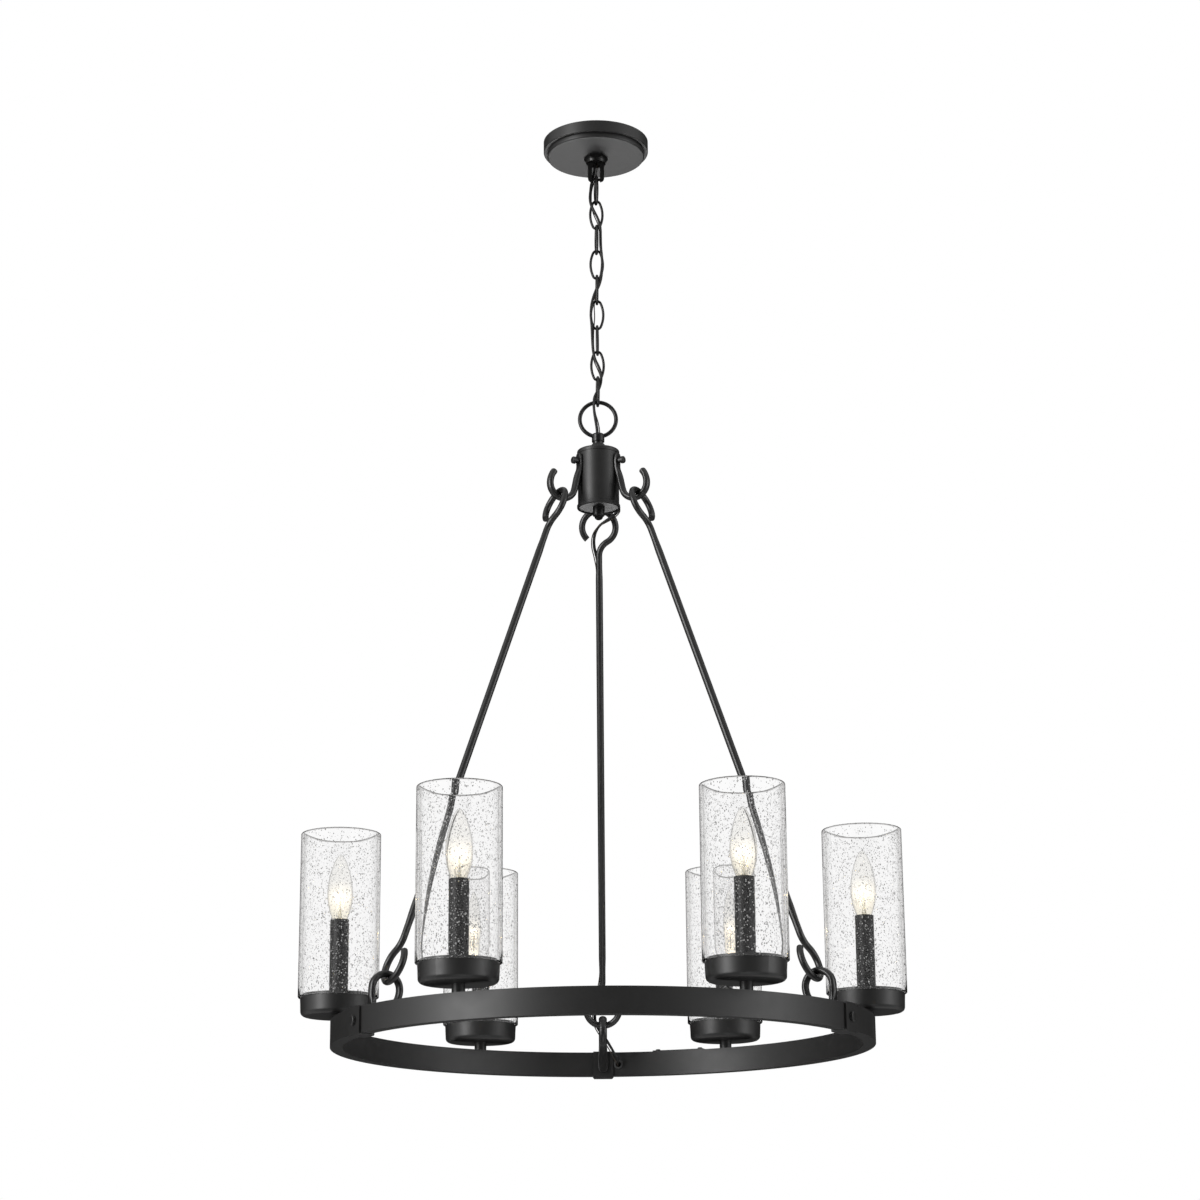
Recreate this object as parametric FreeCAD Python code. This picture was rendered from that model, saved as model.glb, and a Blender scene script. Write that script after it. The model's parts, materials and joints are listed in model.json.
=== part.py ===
import FreeCAD, Part

import math
import os

# Outdoor chandelier: a chain-hung ring of six candle lights under seeded-glass cylinders.
# All lengths are in millimetres. Z points up and z = 0 is the ceiling.
# X points right and Y points away from the viewer.
# The back, left and right rods hang at 90, 210 and 330 degrees, and the lights stand every 60 degrees.

# Fits and gaps
contact_gap = 0.3
running_gap = 0.1
seat_gap = 0.05
cut_over = 2.0

# Mounting strap, its fasteners and the pipe that hangs from it
strap_length = 108.0
strap_width = 20.0
strap_thickness = 2.0
box_hole_spacing = 88.9
box_slot_length = 12.0
box_slot_width = 4.6
nipple_radius = 6.6
nipple_bore_radius = 4.8
nipple_length = 26.0
lock_nut_across = 19.0
lock_nut_height = 3.0
ground_screw_offset = 24.0
ground_screw_radius = 2.0
ground_head_radius = 4.2
ground_head_height = 2.4

# Canopy
canopy_radius = 71.5
canopy_height = 22.3
canopy_wall = 1.2
canopy_band_height = 15.5
canopy_band_rounding = 1.4
canopy_groove_depth = 5.4
canopy_groove_height = 1.2
canopy_disc_inset = 5.0
canopy_disc_rounding = 2.4
canopy_hole_radius = 12.3

# Collar nut and canopy loop
neck_radius = 11.8
neck_rise = 9.0
collar_across = 28.0
collar_hex_height = 5.5
collar_cone_height = 3.5
collar_cone_radius = 13.2
loop_body_width = 22.4
loop_body_depth = 8.0
loop_window_width = 10.8
loop_window_height = 17.5
loop_drop = 56.9
loop_bar_radius = 2.2
loop_corner = 6.0

# Chain
link_count = 9
link_length = 43.6
link_width = 20.0
link_wire = 3.4
link_end_radius = 5.2
link_turns_deg = (102.0, 0.0, 98.0, 0.0, 94.0, 0.0, 86.0, 0.0, 98.0)

# Hub
hub_ring_radius = 24.15
hub_ring_wire = 5.3
boss_radius = 8.4
boss_waist_radius = 6.9
boss_foot_radius = 10.2
boss_height = 18.8
boss_over_wire = 4.0
boss_bore_radius = 3.5
barrel_radius = 27.3
barrel_wall = 1.6
barrel_height = 74.5
bead_radius = 28.5
bead_height = 4.0
lid_radius = 28.1
lid_rim_height = 5.0
lid_rounding = 2.0
lid_rise = 6.0
lid_wall = 2.0
plate_thickness = 1.5
plate_inset = 1.5
hub_nipple_radius = 4.9
hub_nipple_bore_radius = 3.6
cap_radius = 7.9
cap_height = 12.0
cap_rounding = 1.0
window_height = 34.0
window_above_barrel = 6.0
splice_radius = 4.0
ground_splice_radius = 2.2
cord_hole_radius = 3.8
cord_hole_azimuth_deg = 40.0
cord_hole_above_base = 14.2

# Hooks on the hub and on the ring share one bar
hook_arc_radius = 18.3
hook_tip_radius = 27.0
hook_tip_turn_deg = 40.0
hook_half_width = 5.6
hook_half_depth = 4.25
hook_arc_steps = 9
hook_tip_steps = 3
paddle_half_width = 5.8
paddle_thickness = 4.0
paddle_rounding = 4.2
paddle_squareness = 5.0
taper_squareness = 3.0
paddle_taper_length = 11.0
hub_hook_reach = 27.3
hub_hook_drop = 50.0
hub_paddle_drop = 2.5
hub_paddle_length = 21.0
hub_bolt_drop = 13.0
ring_hook_rise = 39.9
ring_paddle_length = 29.0
ring_paddle_below = 11.0

# Rods
rod_radius = 4.75
eye_wire_radius = 4.25
eye_radius = 22.5
rod_eye_spacing = 656.4
eye_neck_drop = 38.5
eye_end_angle_deg = 226.0
rod_taper_length = 16.0

# Bolts
hub_bolt_radius = 2.5
hub_bolt_collar_radius = 3.6
hub_bolt_head_radius = 4.8
hub_bolt_head_height = 4.4
hub_bolt_stand = 4.0
hub_nut_across = 10.0
hub_nut_height = 4.0
ring_bolt_radius = 3.0
ring_bolt_head_radius = 6.1
ring_bolt_head_height = 4.2
head_rounding = 1.6

# Ring
ring_outer_radius = 340.0
ring_section_width = 15.9
ring_section_height = 31.8
ring_wall = 1.6
clip_thickness = 2.5
clip_width = 27.5
clip_above_ring = 1.0
clip_chamfer = 1.6
cover_from_deg = 65.5
cover_to_deg = 78.0
cover_width = 13.0
cover_thickness = 1.5
cover_slot_margin_deg = 2.2
cover_slot_width = 8.0
cover_screw_radius = 1.5
cover_screw_head_radius = 3.2
cover_screw_head_height = 2.0
cover_screw_length = 6.0
grommet_offset = 20.8
grommet_flange_radius = 6.2
grommet_flange_height = 1.6
grommet_body_radius = 4.9
grommet_bore_radius = 3.6
grommet_below_mid = 0.5

# Lights
light_count = 6
stem_radius = 8.0
stem_bore_radius = 5.1
stem_height = 10.3
candle_nipple_radius = 4.9
candle_nipple_bore_radius = 3.4
candle_nipple_below_ring_top = 9.5
candle_nipple_above_floor = 12.0
candle_nut_across = 14.0
candle_nut_height = 3.0
cup_radius = 48.0
cup_height = 23.0
cup_wall = 1.6
cup_taper = 1.0
cup_rounding = 6.0
cup_lip_radius = 46.4
cup_lip_height = 4.0
sleeve_radius = 11.85
sleeve_wall = 1.25
sleeve_height = 120.5
socket_radius = 8.5
socket_bore_radius = 6.0
socket_height = 25.0
socket_below_sleeve_top = 8.5
socket_floor = 2.5
bracket_width = 7.0
bracket_thickness = 1.2
glass_radius = 50.8
glass_wall = 3.8
glass_height = 209.0
glass_rounding = 1.5
bulb_radius = 16.4
bulb_height = 91.5
bulb_wall = 0.8
bulb_sunk = 7.6
bulb_base_length = 20.0
bulb_base_wall = 0.6
bulb_stem_radius = 3.2
bulb_stem_tip_radius = 1.2
bulb_stem_height = 31.0
# Half widths of the bulb as shares of bulb_radius, with heights as shares of bulb_height
bulb_outline_shares = (
    (0.36, 0.0),
    (0.59, 0.086),
    (0.885, 0.256),
    (1.0, 0.447),
    (0.885, 0.655),
    (0.55, 0.86),
    (0.22, 0.97),
    (0.0, 1.0),
)

# Wiring
cord_radius = 2.0
ground_wire_radius = 0.75
harness_wire_radius = 1.6
harness_above_ring_floor = 5.0
harness_offset = 3.2
harness_riser_radius = 1.2
arc_run_share = 0.45

# Places of the rods and lights
rod_names = ("back", "left", "right")
rod_azimuths_deg = (90.0, 210.0, 330.0)
rod_flips = (1.0, -1.0, 1.0)

# Heights that follow from the sizes above
loop_bar_z = -loop_drop + loop_bar_radius
link_half = link_length / 2 - link_wire / 2
first_link_z = loop_bar_z + loop_bar_radius + contact_gap + link_wire / 2 - link_half
link_pitch = 2 * link_half - link_wire - contact_gap
last_link_z = first_link_z - (link_count - 1) * link_pitch
hub_ring_top_z = last_link_z - link_half + link_wire / 2 + contact_gap + hub_ring_wire / 2
hub_ring_z = hub_ring_top_z - hub_ring_radius
boss_top_z = hub_ring_z - hub_ring_radius + boss_over_wire
lid_top_z = boss_top_z - boss_height
barrel_top_z = lid_top_z - lid_rise - lid_rim_height
barrel_base_z = barrel_top_z - barrel_height
plate_z = barrel_base_z + plate_inset

hub_paddle_x = barrel_radius + 2 * seat_gap + paddle_thickness / 2
hub_hook_x = barrel_radius + hub_hook_reach
hub_hook_z = barrel_top_z - hub_hook_drop
hub_bolt_z = barrel_top_z - hub_bolt_drop

ring_inner_radius = ring_outer_radius - ring_section_width
ring_mid_radius = ring_outer_radius - ring_section_width / 2
grommet_azimuth_deg = math.degrees(math.acos(grommet_offset / ring_inner_radius))
ring_paddle_x = ring_inner_radius - 2 * seat_gap - clip_thickness - paddle_thickness / 2 - contact_gap
ring_hook_x = ring_paddle_x - hook_arc_radius
contact_reach = hook_arc_radius - hook_half_depth - contact_gap - eye_wire_radius
eye_reach = contact_reach + eye_radius
rod_run_x = ring_hook_x - hub_hook_x
rod_run_z = math.sqrt((rod_eye_spacing + 2 * eye_reach) ** 2 - rod_run_x ** 2)
ring_hook_z = hub_hook_z - rod_run_z
rod_lean_deg = math.degrees(math.atan2(rod_run_x, rod_run_z))
ring_mid_z = ring_hook_z - ring_hook_rise
ring_top_z = ring_mid_z + ring_section_height / 2
ring_base_z = ring_mid_z - ring_section_height / 2

cup_base_z = ring_top_z + stem_height
cup_floor_z = cup_base_z + cup_wall
cup_top_z = cup_base_z + cup_height
sleeve_top_z = cup_floor_z + sleeve_height
glass_base_z = cup_top_z + contact_gap
bulb_base_z = sleeve_top_z - bulb_sunk
socket_top_z = sleeve_top_z - socket_below_sleeve_top
socket_base_z = socket_top_z - socket_height

# Routes of the cords woven through the chain: points chosen by hand, (x, y, z)
chain_cord_points = (
    (-1.4, 0.0, -0.5),
    (-1.4, 0.0, -14.0),
    (-1.4, 0.2, -28.0),
    (-1.8, 3.1, -39.5),
    (-4.6, 7.0, -49.5),
    (-6.8, 6.4, -60.5),
    (-7.8, 3.6, -72.0),
    (-8.6, -0.6, -83.0),
    (-7.2, -4.9, -94.5),
    (-2.2, -5.4, -105.5),
    (2.8, -5.2, -115.5),
    (5.4, -4.6, -127.0),
    (5.4, -4.2, -142.0),
    (5.6, -4.4, -157.0),
    (7.2, -4.6, -171.0),
    (7.4, -4.6, -184.0),
    (5.8, -4.6, -196.5),
    (3.2, -3.2, -207.5),
    (-1.0, -2.3, -217.5),
    (-4.8, -3.6, -228.0),
    (-7.6, -4.6, -240.0),
    (-8.8, -4.6, -254.0),
    (-7.4, -4.4, -267.0),
    (-6.8, -4.0, -280.0),
    (-6.4, -4.0, -293.0),
    (-5.8, -4.4, -306.0),
    (-3.6, -4.8, -318.0),
    (1.4, -5.0, -328.0),
    (4.8, -4.6, -339.0),
    (4.6, -3.8, -351.0),
    (0.8, -2.2, -361.5),
    (-4.2, -4.4, -370.5),
    (-5.6, -6.0, -381.0),
    (-5.0, -4.4, -393.0),
    (-3.0, -1.6, -405.0),
    (-1.0, 0.3, -417.0),
    (-1.0, 0.5, -431.0),
    (-0.8, 0.5, -445.5),
    (5.4, 1.6, -458.5),
    (12.0, 6.4, -467.5),
    (15.0, 9.5, -476.0),
    (15.0, 9.5, -484.0),
)
chain_ground_points = (
    (2.3, 0.0, -0.5),
    (2.3, 0.0, -14.0),
    (2.2, 0.6, -28.0),
    (1.4, 5.2, -37.5),
    (-0.6, 9.2, -47.0),
    (-4.0, 9.9, -57.5),
    (-6.4, 8.0, -69.0),
    (-6.8, 5.2, -81.0),
    (-6.6, 3.4, -93.0),
    (-3.8, 3.2, -105.0),
    (1.0, 3.2, -116.0),
    (4.2, 3.6, -128.0),
    (4.6, 3.6, -143.0),
    (6.0, 3.4, -158.0),
    (8.0, 3.2, -170.0),
    (8.2, 3.2, -184.0),
    (7.2, 3.2, -197.0),
    (4.6, 2.2, -208.0),
    (0.4, 1.8, -217.5),
    (-3.0, 2.6, -228.0),
    (-4.0, 3.2, -240.0),
    (-3.2, 3.2, -254.0),
    (-4.2, 3.2, -267.0),
    (-5.0, 2.6, -280.0),
    (-5.0, 2.6, -293.0),
    (-5.4, 3.0, -306.0),
    (-5.0, 3.2, -318.0),
    (-0.6, 3.2, -328.0),
    (3.8, 3.2, -339.0),
    (4.8, 2.6, -351.0),
    (1.4, 1.7, -361.5),
    (-3.0, 3.0, -370.5),
    (-4.6, 4.6, -381.0),
    (-3.4, 3.4, -393.0),
    (0.2, 1.6, -405.0),
    (2.2, -0.4, -417.0),
    (2.2, -1.0, -431.0),
    (2.2, -1.6, -448.4),
    (6.8, -3.0, -458.0),
    (13.4, -0.6, -466.5),
    (18.2, 1.6, -472.8),
    (19.5, 2.5, -479.8),
    (19.5, 2.5, -486.0),
)
# The cord from the hub to the ring, in five stretches. The first gives (x, y, z).
ring_cord_hub_points = (
    (15.0, 9.5, -497.0),
    (15.0, 9.5, -503.5),
    (17.6, 14.3, -510.2),
    (25.8, 21.8, -512.6),
    (28.0, 32.6, -517.4),
    (20.6, 43.2, -522.6),
    (10.0, 51.4, -527.0),
)
ring_ground_hub_points = (
    (19.5, 2.5, -497.0),
    (19.5, 2.5, -503.0),
    (20.6, 6.8, -508.4),
    (19.8, 13.6, -513.2),
    (25.4, 21.0, -515.7),
    (29.6, 31.8, -520.2),
    (22.0, 42.9, -525.8),
    (10.1, 50.0, -530.1),
)
# Past the back rod's upper eye: (x, distance down the rod, distance behind it) from that eye's centre
ring_cord_upper_points = (
    (-0.6, -1.8, -4.8),
    (-6.4, 11.0, 1.0),
    (-7.0, 25.8, 5.6),
    (-2.6, 42.1, 8.8),
    (1.2, 64.2, 7.5),
)
ring_ground_upper_points = (
    (-2.2, -1.1, -7.7),
    (-9.5, 10.9, -0.7),
    (-10.4, 26.4, 4.9),
    (-6.0, 42.9, 8.3),
    (-2.2, 66.2, 6.6),
)
# Past its lower eye, given the same way from the lower eye's centre
ring_cord_lower_points = (
    (1.2, -56.3, 7.5),
    (-2.0, -31.2, 8.7),
    (-7.5, -10.1, 11.1),
    (-11.0, 6.3, 12.1),
)
ring_ground_lower_points = (
    (-2.2, -58.2, 6.5),
    (-5.4, -32.3, 7.0),
    (-10.8, -9.8, 9.0),
    (-14.2, 7.2, 9.9),
)
# Under the ring's back hook: (x, y, z) from the centre of the hook's arc
ring_cord_hook_points = (
    (-10.6, 7.2, 14.7),
    (-4.6, 8.5, 3.3),
    (3.6, 9.0, -6.7),
    (9.6, 9.5, -16.7),
    (15.4, 10.2, -26.7),
    (19.8, 13.0, -35.3),
)
ring_ground_hook_points = (
    (-13.0, 5.2, 11.7),
    (-6.4, 6.2, -0.3),
    (1.4, 6.6, -10.3),
    (7.4, 7.4, -20.3),
    (13.4, 8.4, -30.7),
    (18.0, 11.2, -39.5),
)
# Through the grommet: (x, y, z) from the middle of its hole in the ring's inner face
ring_cord_grommet_points = (
    (0.0, -2.6, 1.1),
    (0.6, 8.4, 1.0),
)
ring_ground_grommet_points = (
    (-0.4, -3.6, -2.2),
    (0.4, 8.4, -2.3),
)


def vec(x, y, z):
    return FreeCAD.Vector(x, y, z)


def flat(point):
    """A point of an outline, (radius, height), as a vector in the XZ plane."""
    return vec(point[0], 0, point[1])


def rounded_edges(corners, radii, closed=False):
    """Straight runs joined by tangent arcs. A radius of zero keeps its corner sharp."""
    count = len(corners)
    starts, ends, arcs = [], [], []
    for i, corner in enumerate(corners):
        inner = closed or 0 < i < count - 1
        radius = radii[i] if inner else 0
        if not radius:
            starts.append(corner)
            ends.append(corner)
            arcs.append(None)
            continue
        back = (corners[i - 1] - corner).normalize()
        ahead = (corners[(i + 1) % count] - corner).normalize()
        half = back.getAngle(ahead) / 2
        reach = radius / math.tan(half)
        middle = (back + ahead).normalize()
        bulge = radius / math.sin(half) - radius
        starts.append(corner + back * reach)
        ends.append(corner + ahead * reach)
        arcs.append(Part.Arc(starts[-1], corner + middle * bulge, ends[-1]).toShape())
    edges = []
    for i in range(count if closed else count - 1):
        if arcs[i]:
            edges.append(arcs[i])
        start, end = ends[i], starts[(i + 1) % count]
        if (end - start).Length > seat_gap / 10:
            edges.append(Part.LineSegment(start, end).toShape())
    return edges


def turned(outline):
    """A solid turned about Z from corners (radius, height, rounding)."""
    corners = [flat(c) for c in outline]
    edges = rounded_edges(corners, [c[2] if len(c) > 2 else 0 for c in outline], closed=True)
    face = Part.Face(Part.Wire(edges))
    return face.revolve(vec(0, 0, 0), vec(0, 0, 1), 360)


def tube(outer, inner, base, top):
    return turned(((inner, base), (outer, base), (outer, top), (inner, top)))


def rod_along(radius, start, direction, length):
    return Part.makeCylinder(radius, length, start, direction)


def drill(radius, x, low, high):
    """A vertical cylinder that cuts a hole from just below low to just above high."""
    return rod_along(radius, vec(x, 0, low - cut_over), vec(0, 0, 1), high - low + 2 * cut_over)


def drill_out(radius, near_x, far_x, z):
    """A cylinder along X that cuts a hole from just before near_x to just past far_x."""
    return rod_along(radius, vec(near_x - cut_over, 0, z), vec(1, 0, 0), far_x - near_x + 2 * cut_over)


def hexagon(across, height, base):
    """A hexagonal prism round Z, with two corners on the X axis."""
    reach = across / math.sqrt(3)
    corners = [vec(reach * math.cos(math.radians(60 * i)), reach * math.sin(math.radians(60 * i)), base)
               for i in range(7)]
    return Part.Face(Part.makePolygon(corners)).extrude(vec(0, 0, height))


def nut(across, height, bore, base):
    """A hexagon nut with its corners turned down on both faces."""
    reach = across / math.sqrt(3)
    ease = (reach - across / 2) / 2
    top = base + height
    crown = turned((
        (0, base), (reach - ease, base), (reach, base + ease), (reach, top - ease), (reach - ease, top),
        (0, top)))
    return hexagon(across, height, base).common(crown).cut(drill(bore, 0, base, top))


def swept(edges, radius):
    """A round wire along edges that run on from each other."""
    path = Part.Wire(edges)
    first = path.Edges[0]
    start = first.valueAt(first.FirstParameter)
    heading = first.tangentAt(first.FirstParameter)
    ring = Part.Wire(Part.makeCircle(radius, start, heading))
    return path.makePipeShell([ring], True, False)


def spun(shape, azimuth_deg):
    """A copy turned about Z."""
    copy = shape.copy()
    copy.rotate(vec(0, 0, 0), vec(0, 0, 1), azimuth_deg)
    return copy


def moved(shape, x, y, z):
    copy = shape.copy()
    copy.translate(vec(x, y, z))
    return copy


def at_radius(shape, radius, azimuth_deg):
    """A copy of a piece modelled on the Z axis, moved out to a radius and turned about Z."""
    return spun(moved(shape, radius, 0, 0), azimuth_deg)


def dome_head(radius, height):
    """A low round bolt head on z = 0, pointing up."""
    return turned(((0, 0), (radius, 0), (radius, height, head_rounding), (0, height)))


def along_x(shape):
    """Turns a piece modelled along Z to point along X."""
    copy = shape.copy()
    copy.rotate(vec(0, 0, 0), vec(0, 1, 0), 90)
    return copy


# Ceiling group

def mounting_strap():
    half = strap_length / 2
    side_y = strap_width / 2
    outline = ((-half, -side_y), (half, -side_y), (half, side_y), (-half, side_y))
    corners = [vec(x, y, -strap_thickness) for x, y in outline]
    edges = rounded_edges(corners, [strap_width / 4] * 4, closed=True)
    strap = Part.Face(Part.Wire(edges)).extrude(vec(0, 0, strap_thickness))
    depth = strap_thickness + 2 * cut_over
    for side in (-1, 1):
        slot = box_slot(side * box_hole_spacing / 2, depth)
        strap = strap.cut(slot)
    holes = ((0, nipple_radius), (ground_screw_offset, ground_screw_radius))
    for x, radius in holes:
        strap = strap.cut(drill(radius, x, -strap_thickness, 0))
    return strap


def box_slot(x, depth):
    reach = (box_slot_length - box_slot_width) / 2
    low = -strap_thickness - cut_over
    ends = [rod_along(box_slot_width / 2, vec(x + s * reach, 0, low), vec(0, 0, 1), depth) for s in (-1, 1)]
    bar = Part.makeBox(2 * reach, box_slot_width, depth, vec(x - reach, -box_slot_width / 2, low))
    return bar.fuse(ends)


def strap_fasteners():
    """The lock nut on the pipe and the ground screw, its head below the strap."""
    lock = nut(lock_nut_across, lock_nut_height, nipple_radius, -strap_thickness - lock_nut_height)
    head_base = -strap_thickness - ground_head_height
    shank = rod_along(ground_screw_radius, vec(0, 0, -strap_thickness), vec(0, 0, 1), strap_thickness)
    head = rod_along(ground_head_radius, vec(0, 0, head_base), vec(0, 0, 1), ground_head_height)
    slot_size = ground_head_height / 2
    slot = Part.makeBox(2 * ground_head_radius, slot_size, slot_size,
                        vec(-ground_head_radius, -slot_size / 2, head_base))
    screw = moved(shank.fuse(head).cut(slot), ground_screw_offset, 0, 0)
    return Part.makeCompound([lock, screw])


def ceiling_nipple():
    return tube(nipple_radius, nipple_bore_radius, -nipple_length, 0)


def canopy():
    """A pressed shell: an upper band, a narrow groove and a slightly smaller lower disc."""
    band_z = -canopy_band_height
    disc_z = band_z - canopy_groove_height
    groove_x = canopy_radius - canopy_groove_depth
    disc_x = canopy_radius - canopy_disc_inset
    outer = turned((
        (0, 0), (canopy_radius, 0), (canopy_radius, band_z, canopy_band_rounding), (groove_x, band_z),
        (groove_x, disc_z), (disc_x, disc_z), (disc_x, -canopy_height, canopy_disc_rounding),
        (0, -canopy_height)))
    band_x = canopy_radius - canopy_wall
    inner_x = groove_x - canopy_wall
    step_z = band_z + canopy_wall
    floor_z = -canopy_height + canopy_wall
    inner = turned((
        (0, cut_over), (band_x, cut_over), (band_x, step_z, canopy_band_rounding / 2), (inner_x, step_z),
        (inner_x, floor_z, canopy_disc_rounding / 2), (0, floor_z)))
    return outer.cut(inner).cut(drill(canopy_hole_radius, 0, -canopy_height, 0))


def collar_nut():
    hex_base = -canopy_height - collar_hex_height
    reach = collar_across / math.sqrt(3)
    ease = (reach - collar_across / 2)
    crown = turned((
        (0, hex_base), (collar_across / 2, hex_base), (reach, hex_base + ease), (reach, -canopy_height),
        (0, -canopy_height)))
    body = hexagon(collar_across, collar_hex_height, hex_base).common(crown)
    cone = Part.makeCone(collar_cone_radius, collar_across / 2 - seat_gap, collar_cone_height,
                         vec(0, 0, hex_base - collar_cone_height))
    bore = drill(neck_radius + seat_gap, 0, hex_base - collar_cone_height, -canopy_height)
    return body.fuse(cone).cut(bore)


def canopy_loop():
    """A threaded neck over a yoke whose window takes the first link and the wires."""
    yoke_top = -canopy_height - collar_hex_height - collar_cone_height
    neck_top = -canopy_height + neck_rise
    neck = rod_along(neck_radius, vec(0, 0, yoke_top), vec(0, 0, 1), neck_top - yoke_top)
    half = loop_body_width / 2
    corners = [vec(x, -loop_body_depth / 2, z) for x, z in
               ((-half, yoke_top), (half, yoke_top), (half, -loop_drop), (-half, -loop_drop))]
    edges = rounded_edges(corners, [0, 0, loop_corner, loop_corner], closed=True)
    yoke = Part.Face(Part.Wire(edges)).extrude(vec(0, loop_body_depth, 0))
    round_stock = rod_along(half, vec(0, 0, -loop_drop), vec(0, 0, 1), yoke_top + loop_drop)
    yoke = yoke.common(round_stock)
    bar_top = loop_bar_z + loop_bar_radius
    window = Part.makeBox(loop_window_width, 2 * loop_body_depth, loop_window_height,
                          vec(-loop_window_width / 2, -loop_body_depth, bar_top))
    under = yoke_under_cut()
    bore_base = bar_top + loop_window_height / 2
    bore = rod_along(nipple_bore_radius, vec(0, 0, bore_base), vec(0, 0, 1), nipple_length)
    thread_base = -nipple_length - seat_gap
    thread = rod_along(nipple_radius, vec(0, 0, thread_base), vec(0, 0, 1), nipple_length)
    return neck.fuse(yoke).cut(window).cut(under).cut(bore).cut(thread)


def yoke_under_cut():
    """Takes the yoke's lower bar down to a round bar between its two arms."""
    span = loop_window_width
    low = vec(-span / 2, -loop_body_depth, -loop_drop - cut_over)
    block = Part.makeBox(span, 2 * loop_body_depth, 2 * loop_bar_radius + cut_over, low)
    bar = rod_along(loop_bar_radius, vec(-span / 2, 0, loop_bar_z), vec(1, 0, 0), span)
    return block.cut(bar)


# Chain

def chain_link(index):
    """An oval link of round wire: two tight end arcs and two long side arcs."""
    half_width = link_width / 2 - link_wire / 2
    end_centre = link_half - link_end_radius
    narrowing = half_width - link_end_radius
    side_radius = (half_width ** 2 - link_end_radius ** 2 + end_centre ** 2) / (2 * narrowing)
    side_centre = side_radius - half_width
    lean = math.atan2(end_centre, side_centre)
    joint_x = link_end_radius * math.cos(lean)
    joint_z = end_centre + link_end_radius * math.sin(lean)
    points = {
        "top": vec(0, 0, link_half), "upper_right": vec(joint_x, 0, joint_z), "right": vec(half_width, 0, 0),
        "lower_right": vec(joint_x, 0, -joint_z), "bottom": vec(0, 0, -link_half),
        "lower_left": vec(-joint_x, 0, -joint_z), "left": vec(-half_width, 0, 0),
        "upper_left": vec(-joint_x, 0, joint_z)}
    turns = (("upper_left", "top", "upper_right"), ("upper_right", "right", "lower_right"),
             ("lower_right", "bottom", "lower_left"), ("lower_left", "left", "upper_left"))
    edges = [Part.Arc(*(points[name] for name in turn)).toShape() for turn in turns]
    link = swept(edges, link_wire / 2)
    return moved(spun(link, link_turns_deg[index]), 0, 0, first_link_z - index * link_pitch)


# Hub

def hub_loop():
    ring = Part.makeTorus(hub_ring_radius, hub_ring_wire / 2, vec(0, 0, hub_ring_z), vec(0, 1, 0))
    waist_z = boss_top_z - boss_height * 3 / 5
    foot_z = lid_top_z + boss_height / 5
    boss = turned((
        (0, lid_top_z), (boss_foot_radius, lid_top_z), (boss_radius + seat_gap, foot_z),
        (boss_waist_radius, foot_z), (boss_waist_radius, waist_z), (boss_radius, waist_z),
        (boss_radius, boss_top_z, boss_radius / 3), (0, boss_top_z)))
    bore = drill(boss_bore_radius, 0, lid_top_z, boss_top_z)
    thread = rod_along(hub_nipple_radius, vec(0, 0, lid_top_z - cut_over), vec(0, 0, 1),
                       boss_height / 3 + cut_over)
    return ring.fuse(boss).cut(bore).cut(thread)


def hub_lid():
    shoulder_z = barrel_top_z + lid_rim_height
    inner = lid_radius - lid_wall
    under_z = lid_top_z - lid_wall
    return turned((
        (hub_nipple_radius, lid_top_z), (hub_nipple_radius, under_z), (boss_foot_radius, under_z),
        (inner, shoulder_z - lid_wall, lid_rounding / 2), (inner, barrel_top_z), (lid_radius, barrel_top_z),
        (lid_radius, shoulder_z, lid_rounding), (boss_foot_radius, lid_top_z)))


def hub_barrel():
    """A tube with a rolled bead at its foot, three bolt holes and a hole for the cord."""
    inner = barrel_radius - barrel_wall
    bead_z = barrel_base_z + bead_height
    barrel = turned((
        (inner, barrel_base_z), (bead_radius, barrel_base_z, head_rounding / 2),
        (bead_radius, bead_z, head_rounding / 4), (barrel_radius, bead_z), (barrel_radius, barrel_top_z),
        (inner, barrel_top_z)))
    bolt_hole = drill_out(hub_bolt_radius, inner, barrel_radius, hub_bolt_z)
    cord_hole = drill_out(cord_hole_radius, inner, barrel_radius, barrel_base_z + cord_hole_above_base)
    holes = [spun(bolt_hole, azimuth) for azimuth in rod_azimuths_deg]
    return barrel.cut(holes + [spun(cord_hole, cord_hole_azimuth_deg)])


def hub_bottom_plate():
    outer = barrel_radius - barrel_wall - seat_gap
    return tube(outer, hub_nipple_radius, plate_z, plate_z + plate_thickness)


def hub_nipple():
    """The pipe that clamps the hub together, with a side window that lets the wires out."""
    base = plate_z - cap_height * 2 / 3
    pipe = tube(hub_nipple_radius, hub_nipple_bore_radius, base, lid_top_z + boss_height / 3)
    top = barrel_top_z + window_above_barrel
    window = Part.makeBox(2 * hub_nipple_radius, 2 * hub_nipple_bore_radius, window_height,
                          vec(0, -hub_nipple_bore_radius, top - window_height))
    return pipe.cut(window)


def hub_cap_nut():
    base = plate_z - cap_height
    depth = cap_height * 2 / 3
    return turned((
        (0, base), (cap_radius, base, cap_rounding), (cap_radius, plate_z, head_rounding / 4),
        (hub_nipple_radius, plate_z), (hub_nipple_radius, plate_z - depth), (0, plate_z - depth)))


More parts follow.
